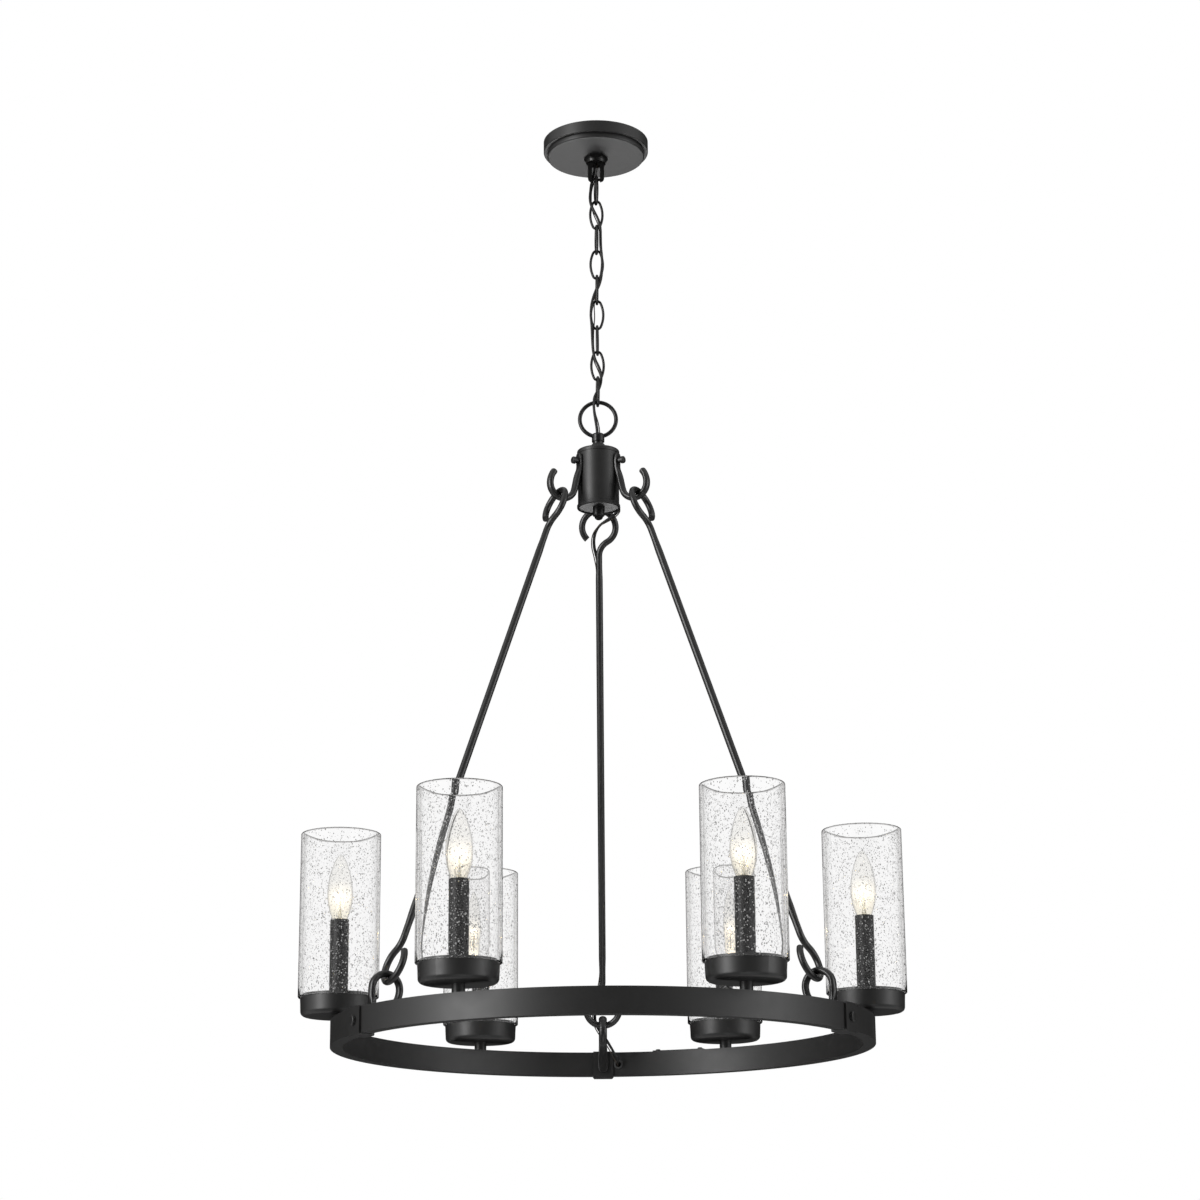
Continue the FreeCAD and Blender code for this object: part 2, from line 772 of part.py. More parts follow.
def hub_bolts():
    solids = []
    inner = barrel_radius - barrel_wall
    face = hub_paddle_x + paddle_thickness / 2
    tip = inner - hub_nut_height - hub_bolt_radius / 2
    shank = rod_along(hub_bolt_radius, vec(tip, 0, 0), vec(1, 0, 0), face + cut_over - tip)
    collar = rod_along(hub_bolt_collar_radius, vec(face, 0, 0), vec(1, 0, 0), hub_bolt_stand + head_rounding)
    head = moved(along_x(dome_head(hub_bolt_head_radius, hub_bolt_head_height)), face + hub_bolt_stand, 0, 0)
    bolt = moved(shank.fuse([collar, head]), 0, 0, hub_bolt_z)
    hexagon_nut = along_x(nut(hub_nut_across, hub_nut_height, hub_bolt_radius, 0))
    sagitta = inner - math.sqrt(inner ** 2 - hub_nut_across ** 2 / 3)
    hexagon_nut = moved(hexagon_nut, inner - sagitta - hub_nut_height - seat_gap, 0, hub_bolt_z)
    for azimuth in rod_azimuths_deg:
        solids += [spun(bolt, azimuth), spun(hexagon_nut, azimuth)]
    return Part.makeCompound(solids)


def wire_splices():
    """Crimped sleeves that join the cords of the chain to those of the ring, end to end."""
    joints = ((chain_cord_points, ring_cord_hub_points, splice_radius),
              (chain_ground_points, ring_ground_hub_points, ground_splice_radius))
    sleeves = []
    for above, below, radius in joints:
        top, base = vec(*above[-1]), vec(*below[0])
        sleeves.append(rod_along(radius, base, vec(0, 0, 1), top.z - base.z))
    return Part.makeCompound(sleeves)


# Hooks

def bar_section(centre, heading, half_width, half_depth, squareness):
    """One closed cross-section of a hook's bar, in the plane square to its heading in XZ."""
    across = vec(heading.z, 0, -heading.x)
    count = 16
    points = []
    for i in range(count):
        angle = 2 * math.pi * i / count
        c, s = math.cos(angle), math.sin(angle)
        y = half_width * math.copysign(abs(c) ** (2 / squareness), c)
        d = half_depth * math.copysign(abs(s) ** (2 / squareness), s)
        points.append(centre + vec(0, y, 0) + across * d)
    curve = Part.BSplineCurve()
    curve.interpolate(Points=points, PeriodicFlag=True)
    return Part.Wire(curve.toShape())


def hook_body(paddle_end, taper_start, bar_start, arc_centre, arc_from, arc_to):
    """A forged hook in the XZ plane: flat paddle, taper, round bar, main arc and a wider tip arc."""
    along = (taper_start - paddle_end).normalize()
    lean = (bar_start - taper_start).normalize()
    nose = paddle_rounding
    half = paddle_thickness / 2
    rows = [
        (paddle_end, along, paddle_half_width - nose, half, paddle_squareness),
        (paddle_end + along * nose * nose_share(1), along, paddle_half_width - nose * nose_share(2), half,
         paddle_squareness),
        (paddle_end + along * nose, along, paddle_half_width, half, paddle_squareness),
        (taper_start, along, paddle_half_width, half, paddle_squareness),
        ((taper_start + bar_start) / 2, (along + lean).normalize(),
         (paddle_half_width + hook_half_width) / 2, (half + hook_half_depth) / 2, taper_squareness),
        (bar_start, lean, hook_half_width, hook_half_depth, 2)]
    shift = hook_tip_radius - hook_arc_radius
    tip_centre = arc_centre - arc_point(vec(0, 0, 0), shift, arc_to)
    tip_end = arc_to + math.radians(hook_tip_turn_deg)
    rows += arc_rows(arc_centre, hook_arc_radius, arc_from, arc_to, hook_arc_steps)
    rows += arc_rows(tip_centre, hook_tip_radius, arc_to, tip_end, hook_tip_steps)[1:]
    return Part.makeLoft([bar_section(*row) for row in rows], True, False)


def nose_share(index):
    """Rounds the paddle's end: how far along, and how much narrower there."""
    return (0, 0.3, 0.29)[index]


def arc_rows(centre, radius, start, end, steps):
    rows = []
    for i in range(steps + 1):
        angle = start + (end - start) * i / steps
        heading = vec(-math.sin(angle), 0, math.cos(angle))
        rows.append((arc_point(centre, radius, angle), heading, hook_half_width, hook_half_depth, 2))
    return rows


def arc_point(centre, radius, angle):
    return centre + vec(radius * math.cos(angle), 0, radius * math.sin(angle))


def hub_hook():
    """The J hook at azimuth 0: bolted flat at the top, flaring out below and curling up at its tip."""
    top = vec(hub_paddle_x, 0, barrel_top_z - hub_paddle_drop)
    low = top - vec(0, 0, hub_paddle_length)
    centre = vec(hub_hook_x, 0, hub_hook_z)
    away = centre - low
    lean = math.atan2(away.x, -away.z) - math.asin(hook_arc_radius / away.Length)
    bar = low + vec(math.sin(lean), 0, -math.cos(lean)) * paddle_taper_length
    hook = hook_body(top, low, bar, centre, lean - math.pi, 0)
    return hook.cut(drill_out(hub_bolt_radius, 0, hub_hook_x, hub_bolt_z))


def ring_hook():
    """The same hook upside down: bolted flat to the ring, rising and curling inwards over the rod's eye."""
    base = vec(ring_paddle_x, 0, ring_mid_z - ring_paddle_below)
    high = base + vec(0, 0, ring_paddle_length)
    bar = high + vec(0, 0, paddle_taper_length)
    hook = hook_body(base, high, bar, vec(ring_hook_x, 0, ring_hook_z), 0, math.pi)
    return hook.cut(drill_out(ring_bolt_radius, ring_hook_x, ring_inner_radius, ring_mid_z))


# Rods

def rod():
    """A straight bar with an open eye at each end, standing along Z in the YZ plane."""
    half_spacing = rod_eye_spacing / 2
    neck_radius_here = (eye_neck_drop ** 2 - eye_radius ** 2) / (2 * eye_radius)
    upper = eye_edges(half_spacing, neck_radius_here)
    path = [Part.LineSegment(vec(0, 0, half_spacing - eye_neck_drop - rod_taper_length),
                             vec(0, 0, half_spacing - eye_neck_drop)).toShape()] + upper
    eye = swept(path, eye_wire_radius)
    shaft_top = half_spacing - eye_neck_drop - 2 * rod_taper_length
    taper = Part.makeCone(rod_radius, eye_wire_radius, rod_taper_length, vec(0, 0, shaft_top))
    top_half = eye.fuse(taper)
    bottom_half = top_half.copy()
    bottom_half.rotate(vec(0, 0, 0), vec(1, 0, 0), 180)
    shaft = rod_along(rod_radius, vec(0, 0, -shaft_top), vec(0, 0, 1), 2 * shaft_top)
    return shaft.fuse([top_half, bottom_half]).removeSplitter()


def eye_edges(centre_z, neck_radius_here):
    """The neck and the open eye at the top of a rod, from the straight part to the free end."""
    neck_centre = vec(0, -neck_radius_here, centre_z - eye_neck_drop)
    eye_centre = vec(0, 0, centre_z)
    meet_angle = math.atan2(-eye_neck_drop, -neck_radius_here)
    neck_end_angle = meet_angle + math.pi
    neck = yz_arc(neck_centre, neck_radius_here, 0, neck_end_angle)
    end_angle = math.radians(180 - eye_end_angle_deg)
    span = meet_angle + 2 * math.pi
    eye = yz_arc(eye_centre, eye_radius, span, end_angle)
    return [neck, eye]


def yz_arc(centre, radius, start, end):
    angles = (start, (start + end) / 2, end)
    points = [centre + vec(0, radius * math.cos(a), radius * math.sin(a)) for a in angles]
    return Part.Arc(*points).toShape()


def placed_rod(azimuth_deg, flip):
    """The rod turned to its free ends' side, leaned outwards and hung between the two hooks."""
    shape = rod()
    if flip < 0:
        shape.rotate(vec(0, 0, 0), vec(0, 0, 1), 180)
    shape.rotate(vec(0, 0, 0), vec(0, 1, 0), -rod_lean_deg)
    middle = vec((hub_hook_x + ring_hook_x) / 2, 0, (hub_hook_z + ring_hook_z) / 2)
    shape.translate(middle)
    return spun(shape, azimuth_deg)


# Ring

def ring_sector(inner, outer, base, top, from_deg, to_deg):
    corners = [vec(inner, 0, base), vec(outer, 0, base), vec(outer, 0, top), vec(inner, 0, top)]
    face = Part.Face(Part.makePolygon(corners + corners[:1]))
    return spun(face.revolve(vec(0, 0, 0), vec(0, 0, 1), to_deg - from_deg), from_deg)


def ring_tube():
    outer = tube(ring_outer_radius, ring_inner_radius, ring_base_z, ring_top_z)
    hollow = tube(ring_outer_radius - ring_wall, ring_inner_radius + ring_wall, ring_base_z + ring_wall,
                  ring_top_z - ring_wall)
    ring = outer.cut(hollow)
    under_z = ring_top_z - ring_wall
    light_hole = drill(candle_nipple_radius, ring_mid_radius, under_z, ring_top_z)
    bolt_hole = drill_out(ring_bolt_radius, ring_inner_radius, ring_outer_radius, ring_mid_z)
    grommet_z = ring_mid_z - grommet_below_mid
    wall_x = ring_inner_radius + ring_wall
    grommet_hole = drill_out(grommet_body_radius, ring_inner_radius, wall_x, grommet_z)
    screw_hole = drill(cover_screw_radius, ring_mid_radius, under_z, ring_top_z)
    cover_slot = ring_sector(
        ring_mid_radius - cover_slot_width / 2, ring_mid_radius + cover_slot_width / 2,
        under_z - cut_over, ring_top_z + cut_over,
        cover_from_deg + cover_slot_margin_deg, cover_to_deg - cover_slot_margin_deg)
    cuts = [spun(light_hole, light_azimuth(i)) for i in range(light_count)]
    cuts += [spun(bolt_hole, azimuth) for azimuth in rod_azimuths_deg]
    cuts += [spun(screw_hole, azimuth) for azimuth in cover_screw_azimuths()]
    return ring.cut(cuts + [spun(grommet_hole, grommet_azimuth_deg), cover_slot])


def light_azimuth(index):
    return 360 * index / light_count


def cover_screw_azimuths():
    margin = cover_slot_margin_deg / 2
    return cover_from_deg + margin, cover_to_deg - margin


def wiring_cover():
    face = ring_top_z + cover_thickness
    cover = ring_sector(
        ring_mid_radius - cover_width / 2, ring_mid_radius + cover_width / 2, ring_top_z, face,
        cover_from_deg, cover_to_deg)
    screw_hole = drill(cover_screw_radius, ring_mid_radius, ring_top_z, face)
    return cover.cut([spun(screw_hole, azimuth) for azimuth in cover_screw_azimuths()])


def cover_screws():
    face = ring_top_z + cover_thickness
    tip = vec(0, 0, face - cover_screw_length)
    shank = rod_along(cover_screw_radius, tip, vec(0, 0, 1), cover_screw_length)
    head = turned(((0, 0), (cover_screw_head_radius, 0),
                   (cover_screw_head_radius, cover_screw_head_height, cover_screw_head_height / 2),
                   (0, cover_screw_head_height)))
    screw = moved(shank.fuse(moved(head, 0, 0, face)), ring_mid_radius, 0, 0)
    return Part.makeCompound([spun(screw, azimuth) for azimuth in cover_screw_azimuths()])


def ring_clip():
    """A U-shaped saddle under the ring at azimuth 0, its legs curved with the ring."""
    span_deg = math.degrees(clip_width / ring_mid_radius)
    inner = ring_inner_radius - seat_gap - clip_thickness
    outer = ring_outer_radius + seat_gap + clip_thickness
    base = ring_base_z - seat_gap - clip_thickness
    top = ring_top_z + clip_above_ring
    block = ring_sector(inner, outer, base, top, -span_deg / 2, span_deg / 2)
    gap = ring_sector(ring_inner_radius - seat_gap, ring_outer_radius + seat_gap, ring_base_z - seat_gap,
                      top + cut_over, -span_deg, span_deg)
    clip = block.cut(gap)
    for side in (-1, 1):
        wedge = [vec(inner - cut_over, side * clip_width, base - cut_over),
                 vec(inner - cut_over, side * (clip_width / 2 - clip_chamfer), base),
                 vec(inner - cut_over, side * (clip_width / 2 + cut_over), base + clip_chamfer + cut_over)]
        cutter = Part.Face(Part.makePolygon(wedge + wedge[:1]))
        clip = clip.cut(cutter.extrude(vec(outer - inner + 2 * cut_over, 0, 0)))
    return clip.cut(drill_out(ring_bolt_radius, inner, outer, ring_mid_z))


def ring_clips():
    clip = ring_clip()
    return Part.makeCompound([spun(clip, azimuth) for azimuth in rod_azimuths_deg])


def ring_bolts():
    tip = ring_paddle_x - paddle_thickness / 2
    face = ring_outer_radius + seat_gap + clip_thickness
    shank = rod_along(ring_bolt_radius, vec(tip, 0, ring_mid_z), vec(1, 0, 0), face - tip + head_rounding)
    head = moved(along_x(dome_head(ring_bolt_head_radius, ring_bolt_head_height)), face, 0, ring_mid_z)
    bolt = shank.fuse(head)
    return Part.makeCompound([spun(bolt, azimuth) for azimuth in rod_azimuths_deg])


def cord_grommet():
    """A flanged bush in the ring's inner wall, modelled along Z and turned to face the ring's axis."""
    flange_top = grommet_flange_height
    body_base = -ring_wall - seat_gap
    bush = turned((
        (grommet_bore_radius, body_base), (grommet_body_radius, body_base), (grommet_body_radius, 0),
        (grommet_flange_radius, 0), (grommet_flange_radius, flange_top, flange_top / 2),
        (grommet_bore_radius, flange_top, flange_top / 4)))
    bush.rotate(vec(0, 0, 0), vec(0, 1, 0), -90)
    sagitta = ring_inner_radius - math.sqrt(ring_inner_radius ** 2 - grommet_flange_radius ** 2)
    bush = moved(bush, ring_inner_radius - sagitta, 0, ring_mid_z - grommet_below_mid)
    return spun(bush, grommet_azimuth_deg)


def ring_harness():
    """The loop of wire inside the ring, with a riser up through each candle nipple."""
    z = ring_base_z + ring_wall + harness_above_ring_floor
    radius = ring_mid_radius - harness_offset
    loop = Part.makeTorus(radius, harness_wire_radius, vec(0, 0, z), vec(0, 0, 1))
    bend = harness_riser_radius * 2
    leave_z = z + harness_wire_radius * 3
    join_z = leave_z + harness_offset + harness_wire_radius
    corners = [vec(radius, 0, z), vec(radius, 0, leave_z), vec(ring_mid_radius, 0, join_z),
               vec(ring_mid_radius, 0, socket_base_z - seat_gap)]
    riser = swept(rounded_edges(corners, [0, bend, bend, 0]), harness_riser_radius)
    return loop.fuse([spun(riser, light_azimuth(i)) for i in range(light_count)])


# Lights, modelled on the Z axis

def candle_stem():
    return tube(stem_radius, stem_bore_radius, ring_top_z, cup_base_z)


def candle_nipple():
    base = ring_top_z - candle_nipple_below_ring_top
    top = cup_floor_z + candle_nipple_above_floor
    pipe = tube(candle_nipple_radius, candle_nipple_bore_radius, base, top)
    lower = nut(ring_section_width - 2 * ring_wall - contact_gap, candle_nut_height, candle_nipple_radius,
                ring_top_z - ring_wall - candle_nut_height)
    upper = nut(candle_nut_across, candle_nut_height, candle_nipple_radius, cup_floor_z + bracket_thickness)
    return [pipe, spun(lower, 90), spun(upper, 90)]


def candle_cup():
    """A shallow pan whose drawn-in lip centres the glass on its shoulder."""
    inner = cup_radius - cup_wall
    lip_inner = cup_lip_radius - cup_wall
    return turned((
        (candle_nipple_radius, cup_base_z), (cup_radius - cup_taper, cup_base_z, cup_rounding),
        (cup_radius, cup_top_z, head_rounding / 4), (cup_lip_radius, cup_top_z),
        (cup_lip_radius, cup_top_z + cup_lip_height), (lip_inner, cup_top_z + cup_lip_height),
        (lip_inner, cup_top_z - cup_wall), (inner - cup_taper, cup_floor_z, cup_rounding - cup_wall),
        (candle_nipple_radius, cup_floor_z)))


def candle_sleeve():
    return tube(sleeve_radius, sleeve_radius - sleeve_wall, cup_floor_z, sleeve_top_z)


def candle_socket():
    """A socket on a bent strip that is clamped under the upper nut."""
    shell = turned((
        (0, socket_base_z), (socket_radius, socket_base_z), (socket_radius, socket_top_z),
        (socket_bore_radius, socket_top_z), (socket_bore_radius, socket_base_z + socket_floor),
        (0, socket_base_z + socket_floor)))
    leg_x = socket_radius - bracket_thickness
    leg = Part.makeBox(bracket_thickness, bracket_width, socket_base_z + seat_gap - cup_floor_z,
                       vec(leg_x, -bracket_width / 2, cup_floor_z))
    foot = rod_along(socket_radius, vec(0, 0, cup_floor_z), vec(0, 0, 1), bracket_thickness)
    hole = drill(candle_nipple_radius, 0, cup_floor_z, cup_floor_z + bracket_thickness)
    return shell.fuse([leg, foot]).cut(hole)


def glass_shade():
    inner = glass_radius - glass_wall
    top = glass_base_z + glass_height
    return turned((
        (inner, glass_base_z), (glass_radius, glass_base_z, glass_rounding),
        (glass_radius, top, glass_rounding), (inner, top, glass_rounding)))


def bulb():
    """Three solids: the glass envelope, the screw base and the glass stem that holds the filament."""
    outer = bulb_outline(bulb_radius, bulb_base_z, bulb_height)
    inner = bulb_outline(bulb_radius - bulb_wall, bulb_base_z + bulb_wall, bulb_height - 2 * bulb_wall)
    envelope = closed_dome(outer).cut(closed_dome(inner))
    cap_top = bulb_base_z
    cap_low = cap_top - bulb_base_length
    radius = socket_bore_radius - running_gap
    base = turned((
        (0, cap_low), (radius / 2, cap_low), (radius, cap_low + radius / 2), (radius, cap_top),
        (radius - bulb_base_wall, cap_top), (radius - bulb_base_wall, cap_low + radius / 2 + bulb_base_wall),
        (0, cap_low + radius / 2 + bulb_base_wall)))
    stem = Part.makeCone(bulb_stem_radius, bulb_stem_tip_radius, bulb_stem_height,
                         vec(0, 0, bulb_base_z + bulb_wall))
    return [envelope, base, stem]


def bulb_outline(radius, base, height):
    return [flat((radius * width, base + height * rise)) for width, rise in bulb_outline_shares]


def closed_dome(points):
    """Turns a smooth outline that starts on its flat foot and ends on the axis, square to it."""
    curve = Part.BSplineCurve()
    curve.interpolate(Points=points, Tangents=[points[1] - points[0]] + [vec(0, 0, 0)] * (len(points) - 2)
                      + [vec(-1, 0, 0)], TangentFlags=[True] + [False] * (len(points) - 2) + [True])
    foot = vec(0, 0, points[0].z)
    edges = [curve.toShape(), Part.LineSegment(points[-1], foot).toShape(),
             Part.LineSegment(foot, points[0]).toShape()]
    return Part.Face(Part.Wire(edges)).revolve(vec(0, 0, 0), vec(0, 0, 1), 360)


def all_lights(make):
    """One copy of a light's fixed piece at each place round the ring."""
    shapes = []
    for i in range(light_count):
        made = make()
        for solid in made if isinstance(made, list) else [made]:
            shapes.append(at_radius(solid, ring_mid_radius, light_azimuth(i)))
    return Part.makeCompound(shapes)


# Cords

def ring_route(hub, upper, lower, hook, grommet):
    """Joins the five stretches of a cord that runs down behind the back rod."""
    lean = math.radians(rod_lean_deg)
    down = vec(0, math.sin(lean), -math.cos(lean))
    behind = vec(0, math.cos(lean), math.sin(lean))
    upper_eye = vec(0, hub_hook_x, hub_hook_z) + down * eye_reach
    lower_eye = vec(0, ring_hook_x, ring_hook_z) - down * eye_reach
    hook_centre = vec(0, ring_hook_x, ring_hook_z)
    azimuth = math.radians(grommet_azimuth_deg)
    hole = vec(ring_inner_radius * math.cos(azimuth), ring_inner_radius * math.sin(azimuth),
               ring_mid_z - grommet_below_mid)
    route = [vec(*p) for p in hub]
    route += [upper_eye + vec(x, 0, 0) + down * along + behind * back for x, along, back in upper]
    route += [lower_eye + vec(x, 0, 0) + down * along + behind * back for x, along, back in lower]
    route += [hook_centre + vec(*p) for p in hook]
    route += [hole + vec(*p) for p in grommet]
    return route


def cord(points, radius, name):
    """A round cord along its hand-chosen route, each bend as wide as its two runs allow."""
    corners = [vec(*p) for p in points]
    radii = [0]
    for i in range(1, len(corners) - 1):
        back = corners[i - 1] - corners[i]
        ahead = corners[i + 1] - corners[i]
        half = back.getAngle(ahead) / 2
        radii.append(arc_run_share * min(back.Length, ahead.Length) * math.tan(half))
    radii.append(0)
    edges = rounded_edges(corners, radii)
    length = sum(edge.Length for edge in edges)
    tightest = min(radii[1:-1])
    solid = swept(edges, radius)
    error = solid.Volume / (math.pi * radius ** 2 * length) - 1
    print(f"{name}: length {length:.0f}, tightest bend {tightest:.1f}, volume off by {error:.4f}")
    print("  bends:", " ".join(f"{r:.0f}" for r in radii[1:-1]))
    return solid


def make_parts():
    parts = {
        "mounting_strap": mounting_strap(),
        "strap_fasteners": strap_fasteners(),
        "ceiling_nipple": ceiling_nipple(),
        "canopy": canopy(),
        "collar_nut": collar_nut(),
        "canopy_loop": canopy_loop(),
        "chain_cord": cord(chain_cord_points, cord_radius, "chain_cord"),
        "chain_ground_wire": cord(chain_ground_points, ground_wire_radius, "chain_ground_wire"),
        "hub_loop": hub_loop(),
        "hub_lid": hub_lid(),
        "hub_barrel": hub_barrel(),
        "hub_bottom_plate": hub_bottom_plate(),
        "hub_nipple": hub_nipple(),
        "hub_cap_nut": hub_cap_nut(),
        "hub_bolts": hub_bolts(),
        "wire_splices": wire_splices(),
        "ring_cord": cord(ring_route(
            ring_cord_hub_points, ring_cord_upper_points, ring_cord_lower_points, ring_cord_hook_points,
            ring_cord_grommet_points), cord_radius, "ring_cord"),
        "ring_ground_wire": cord(ring_route(
            ring_ground_hub_points, ring_ground_upper_points, ring_ground_lower_points,
            ring_ground_hook_points, ring_ground_grommet_points), ground_wire_radius, "ring_ground_wire"),
        "ring_tube": ring_tube(),
        "wiring_cover": wiring_cover(),
        "cover_screws": cover_screws(),
        "ring_clips": ring_clips(),
        "ring_bolts": ring_bolts(),
        "cord_grommet": cord_grommet(),
        "ring_harness": ring_harness(),
        "candle_stems": all_lights(candle_stem),
        "candle_nipples": all_lights(candle_nipple),
        "candle_cups": all_lights(candle_cup),
        "candle_sleeves": all_lights(candle_sleeve),
        "candle_sockets": all_lights(candle_socket),
    }
    for i in range(link_count):
        parts[f"chain_link_{i + 1}"] = chain_link(i)
    for name, azimuth, flip in zip(rod_names, rod_azimuths_deg, rod_flips):
        parts[f"hub_hook_{name}"] = spun(hub_hook(), azimuth)
        parts[f"rod_{name}"] = placed_rod(azimuth, flip)
        parts[f"ring_hook_{name}"] = spun(ring_hook(), azimuth)
    for i in range(light_count):
        parts[f"glass_shade_{i + 1}"] = at_radius(glass_shade(), ring_mid_radius, light_azimuth(i))
        solids = [at_radius(solid, ring_mid_radius, light_azimuth(i)) for solid in bulb()]
        parts[f"bulb_{i + 1}"] = Part.makeCompound(solids)
    return parts


os.makedirs("parts", exist_ok=True)
for part_name, shape in make_parts().items():
    shape.exportStep(f"parts/{part_name}.step")
    print(part_name, "valid" if shape.isValid() else "NOT VALID", f"volume {shape.Volume:.0f}")
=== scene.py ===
"""The look of a black ring chandelier: a chain, three hung rods and six candles in seeded glass."""
import json
import math
import random

import bpy
from mathutils import Matrix, Vector

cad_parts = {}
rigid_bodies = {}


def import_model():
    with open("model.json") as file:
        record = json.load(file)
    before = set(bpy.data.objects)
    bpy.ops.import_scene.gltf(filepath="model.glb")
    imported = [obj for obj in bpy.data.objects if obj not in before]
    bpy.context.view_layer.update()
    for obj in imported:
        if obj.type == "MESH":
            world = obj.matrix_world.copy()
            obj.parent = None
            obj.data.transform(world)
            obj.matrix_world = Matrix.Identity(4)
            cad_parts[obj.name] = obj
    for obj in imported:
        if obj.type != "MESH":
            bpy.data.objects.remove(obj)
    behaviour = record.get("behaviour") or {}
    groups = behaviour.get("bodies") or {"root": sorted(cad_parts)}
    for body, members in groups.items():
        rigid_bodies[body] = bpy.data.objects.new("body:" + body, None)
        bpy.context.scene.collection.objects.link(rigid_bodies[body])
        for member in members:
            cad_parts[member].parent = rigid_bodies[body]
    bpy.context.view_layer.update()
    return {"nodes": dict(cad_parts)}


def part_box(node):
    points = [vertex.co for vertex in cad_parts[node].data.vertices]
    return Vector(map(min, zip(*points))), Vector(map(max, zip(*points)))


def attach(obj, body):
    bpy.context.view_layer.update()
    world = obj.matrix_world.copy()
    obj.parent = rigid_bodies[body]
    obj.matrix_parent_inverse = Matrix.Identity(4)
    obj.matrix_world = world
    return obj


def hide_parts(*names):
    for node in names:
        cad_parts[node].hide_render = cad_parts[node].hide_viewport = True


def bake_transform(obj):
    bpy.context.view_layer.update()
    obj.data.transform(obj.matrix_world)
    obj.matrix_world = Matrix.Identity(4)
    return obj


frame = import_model()

# Camera, read from the photograph: one pinhole that fits the ring, the glasses and the canopy
IMAGE_WIDTH_PX = 1200
FOCAL_PX = 2737.34
SENSOR_MM = 36.0
CAMERA_AT = (0.0008, -3.44453, -1.63084)
CAMERA_PITCH_DEG = 15.86
CAMERA_ROLL_DEG = -0.46

# Sizes in metres that the pieces made here share with the solids
LIGHT_COUNT = 6
LINK_COUNT = 9
RING_MID_RADIUS = 0.33205
GLASS_RADIUS = 0.0508
GLASS_WALL = 0.0038
GLASS_LIP = 0.0015
GLASS_TOP_Z = -0.96054
BULB_RADIUS = 0.0164
BULB_HEIGHT = 0.0915
BULB_WALL = 0.0006
BULB_CAP_LENGTH = 0.020
BULB_CAP_RADIUS = 0.0058
FIRST_LINK_Z = -0.0706
LINK_PITCH = 0.0365
CORD_WIDTH = 0.004
CORD_THICKNESS = 0.0034
GROUND_DIAMETER = 0.0015

# How much shorter each cylinder is at both ends than its solid, which keeps it inside the solid's box
GLASS_END_GAP = 0.00002

# Seeds in each cylinder: their number and their smallest and largest radius, the glass left over each
# seed, the clear glass at both ends, and a power that makes most of them small
SMALL_SEEDS = (1500, 0.00035, 0.00065)
LARGE_SEEDS = (200, 0.0007, 0.00105)
SEED_SKIN = 0.0003
SEED_MARGIN = 0.004
SEED_SKEW = 1.7
FIRST_RANDOM_SEED = 101

# Looks of the glass: seeds open to the skin as (per metre, smallest, largest share of their spacing),
# the share of turning away at which the painted shade on an edge starts and is full, and the depths under the
# top at which the lip's painted dark line starts and is full
FINE_SPOTS = (270, 0.09, 0.22)
COARSE_SPOTS = (170, 0.07, 0.15)
SOFT_GLASS_IOR = 1.33
LAMP_GLASS_IOR = 1.45
CYLINDER_EDGE_SHADE = (0.60, 0.88)
BUBBLE_RIM_SHADE = (0.10, 0.70)
LAMP_EDGE_SHADE = (0.50, 0.86)
LIP_STARTS_BELOW = 0.0022
LIP_FULL_BELOW = 0.0008

# Heights of the lamps' warmth: their glass is warm below and clear above, and has a painted glow round the
# filament
WARM_FULL_Z = -1.077
WARM_GONE_Z = -1.020
GLOW_LOW_Z = -1.070
GLOW_MIDDLE_Z = -1.043
GLOW_HIGH_Z = -1.016
GLOW_STRENGTH = 0.17
FILAMENT_STRENGTH = 14.0

# The envelope's outline, as shares of its radius and height
BULB_OUTLINE = ((0.36, 0.0), (0.59, 0.086), (0.885, 0.256), (1.0, 0.447), (0.885, 0.655), (0.55, 0.86),
                (0.22, 0.97), (0.0, 1.0))
# The cap's foot as (radius, height over its lowest point), and its rim as (how far inside the cap's
# radius, height over the envelope's foot)
CAP_FOOT = ((0.0, 0.0), (0.0016, 0.0), (0.0022, 0.0010), (0.0026, 0.0018), (0.0048, 0.0042))
CAP_RIM = ((0.0004, -0.0012), (0.0004, 0.0012), (0.0010, 0.0014))
# The stem's outline and one lead as (distance from the axis, height over the envelope's foot)
STEM_OUTLINE = ((0.0, 0.0015), (0.0036, 0.0016), (0.0032, 0.010), (0.0020, 0.017), (0.0013, 0.024),
                (0.0012, 0.0295), (0.0016, 0.0305), (0.0011, 0.0318), (0.0, 0.0321))
LEAD_POINTS = ((0.0010, 0.010), (0.0018, 0.022), (0.0034, 0.030), (0.0062, 0.036))
FILAMENT_WIRE_RADIUS = 0.00032
LEAD_WIRE_RADIUS = 0.00028

# Studio
FLOOR_Z = -2.9
WORLD_ON_MATTE = 0.3
STUDIO_MIDDLE = (0, 0, -0.8)

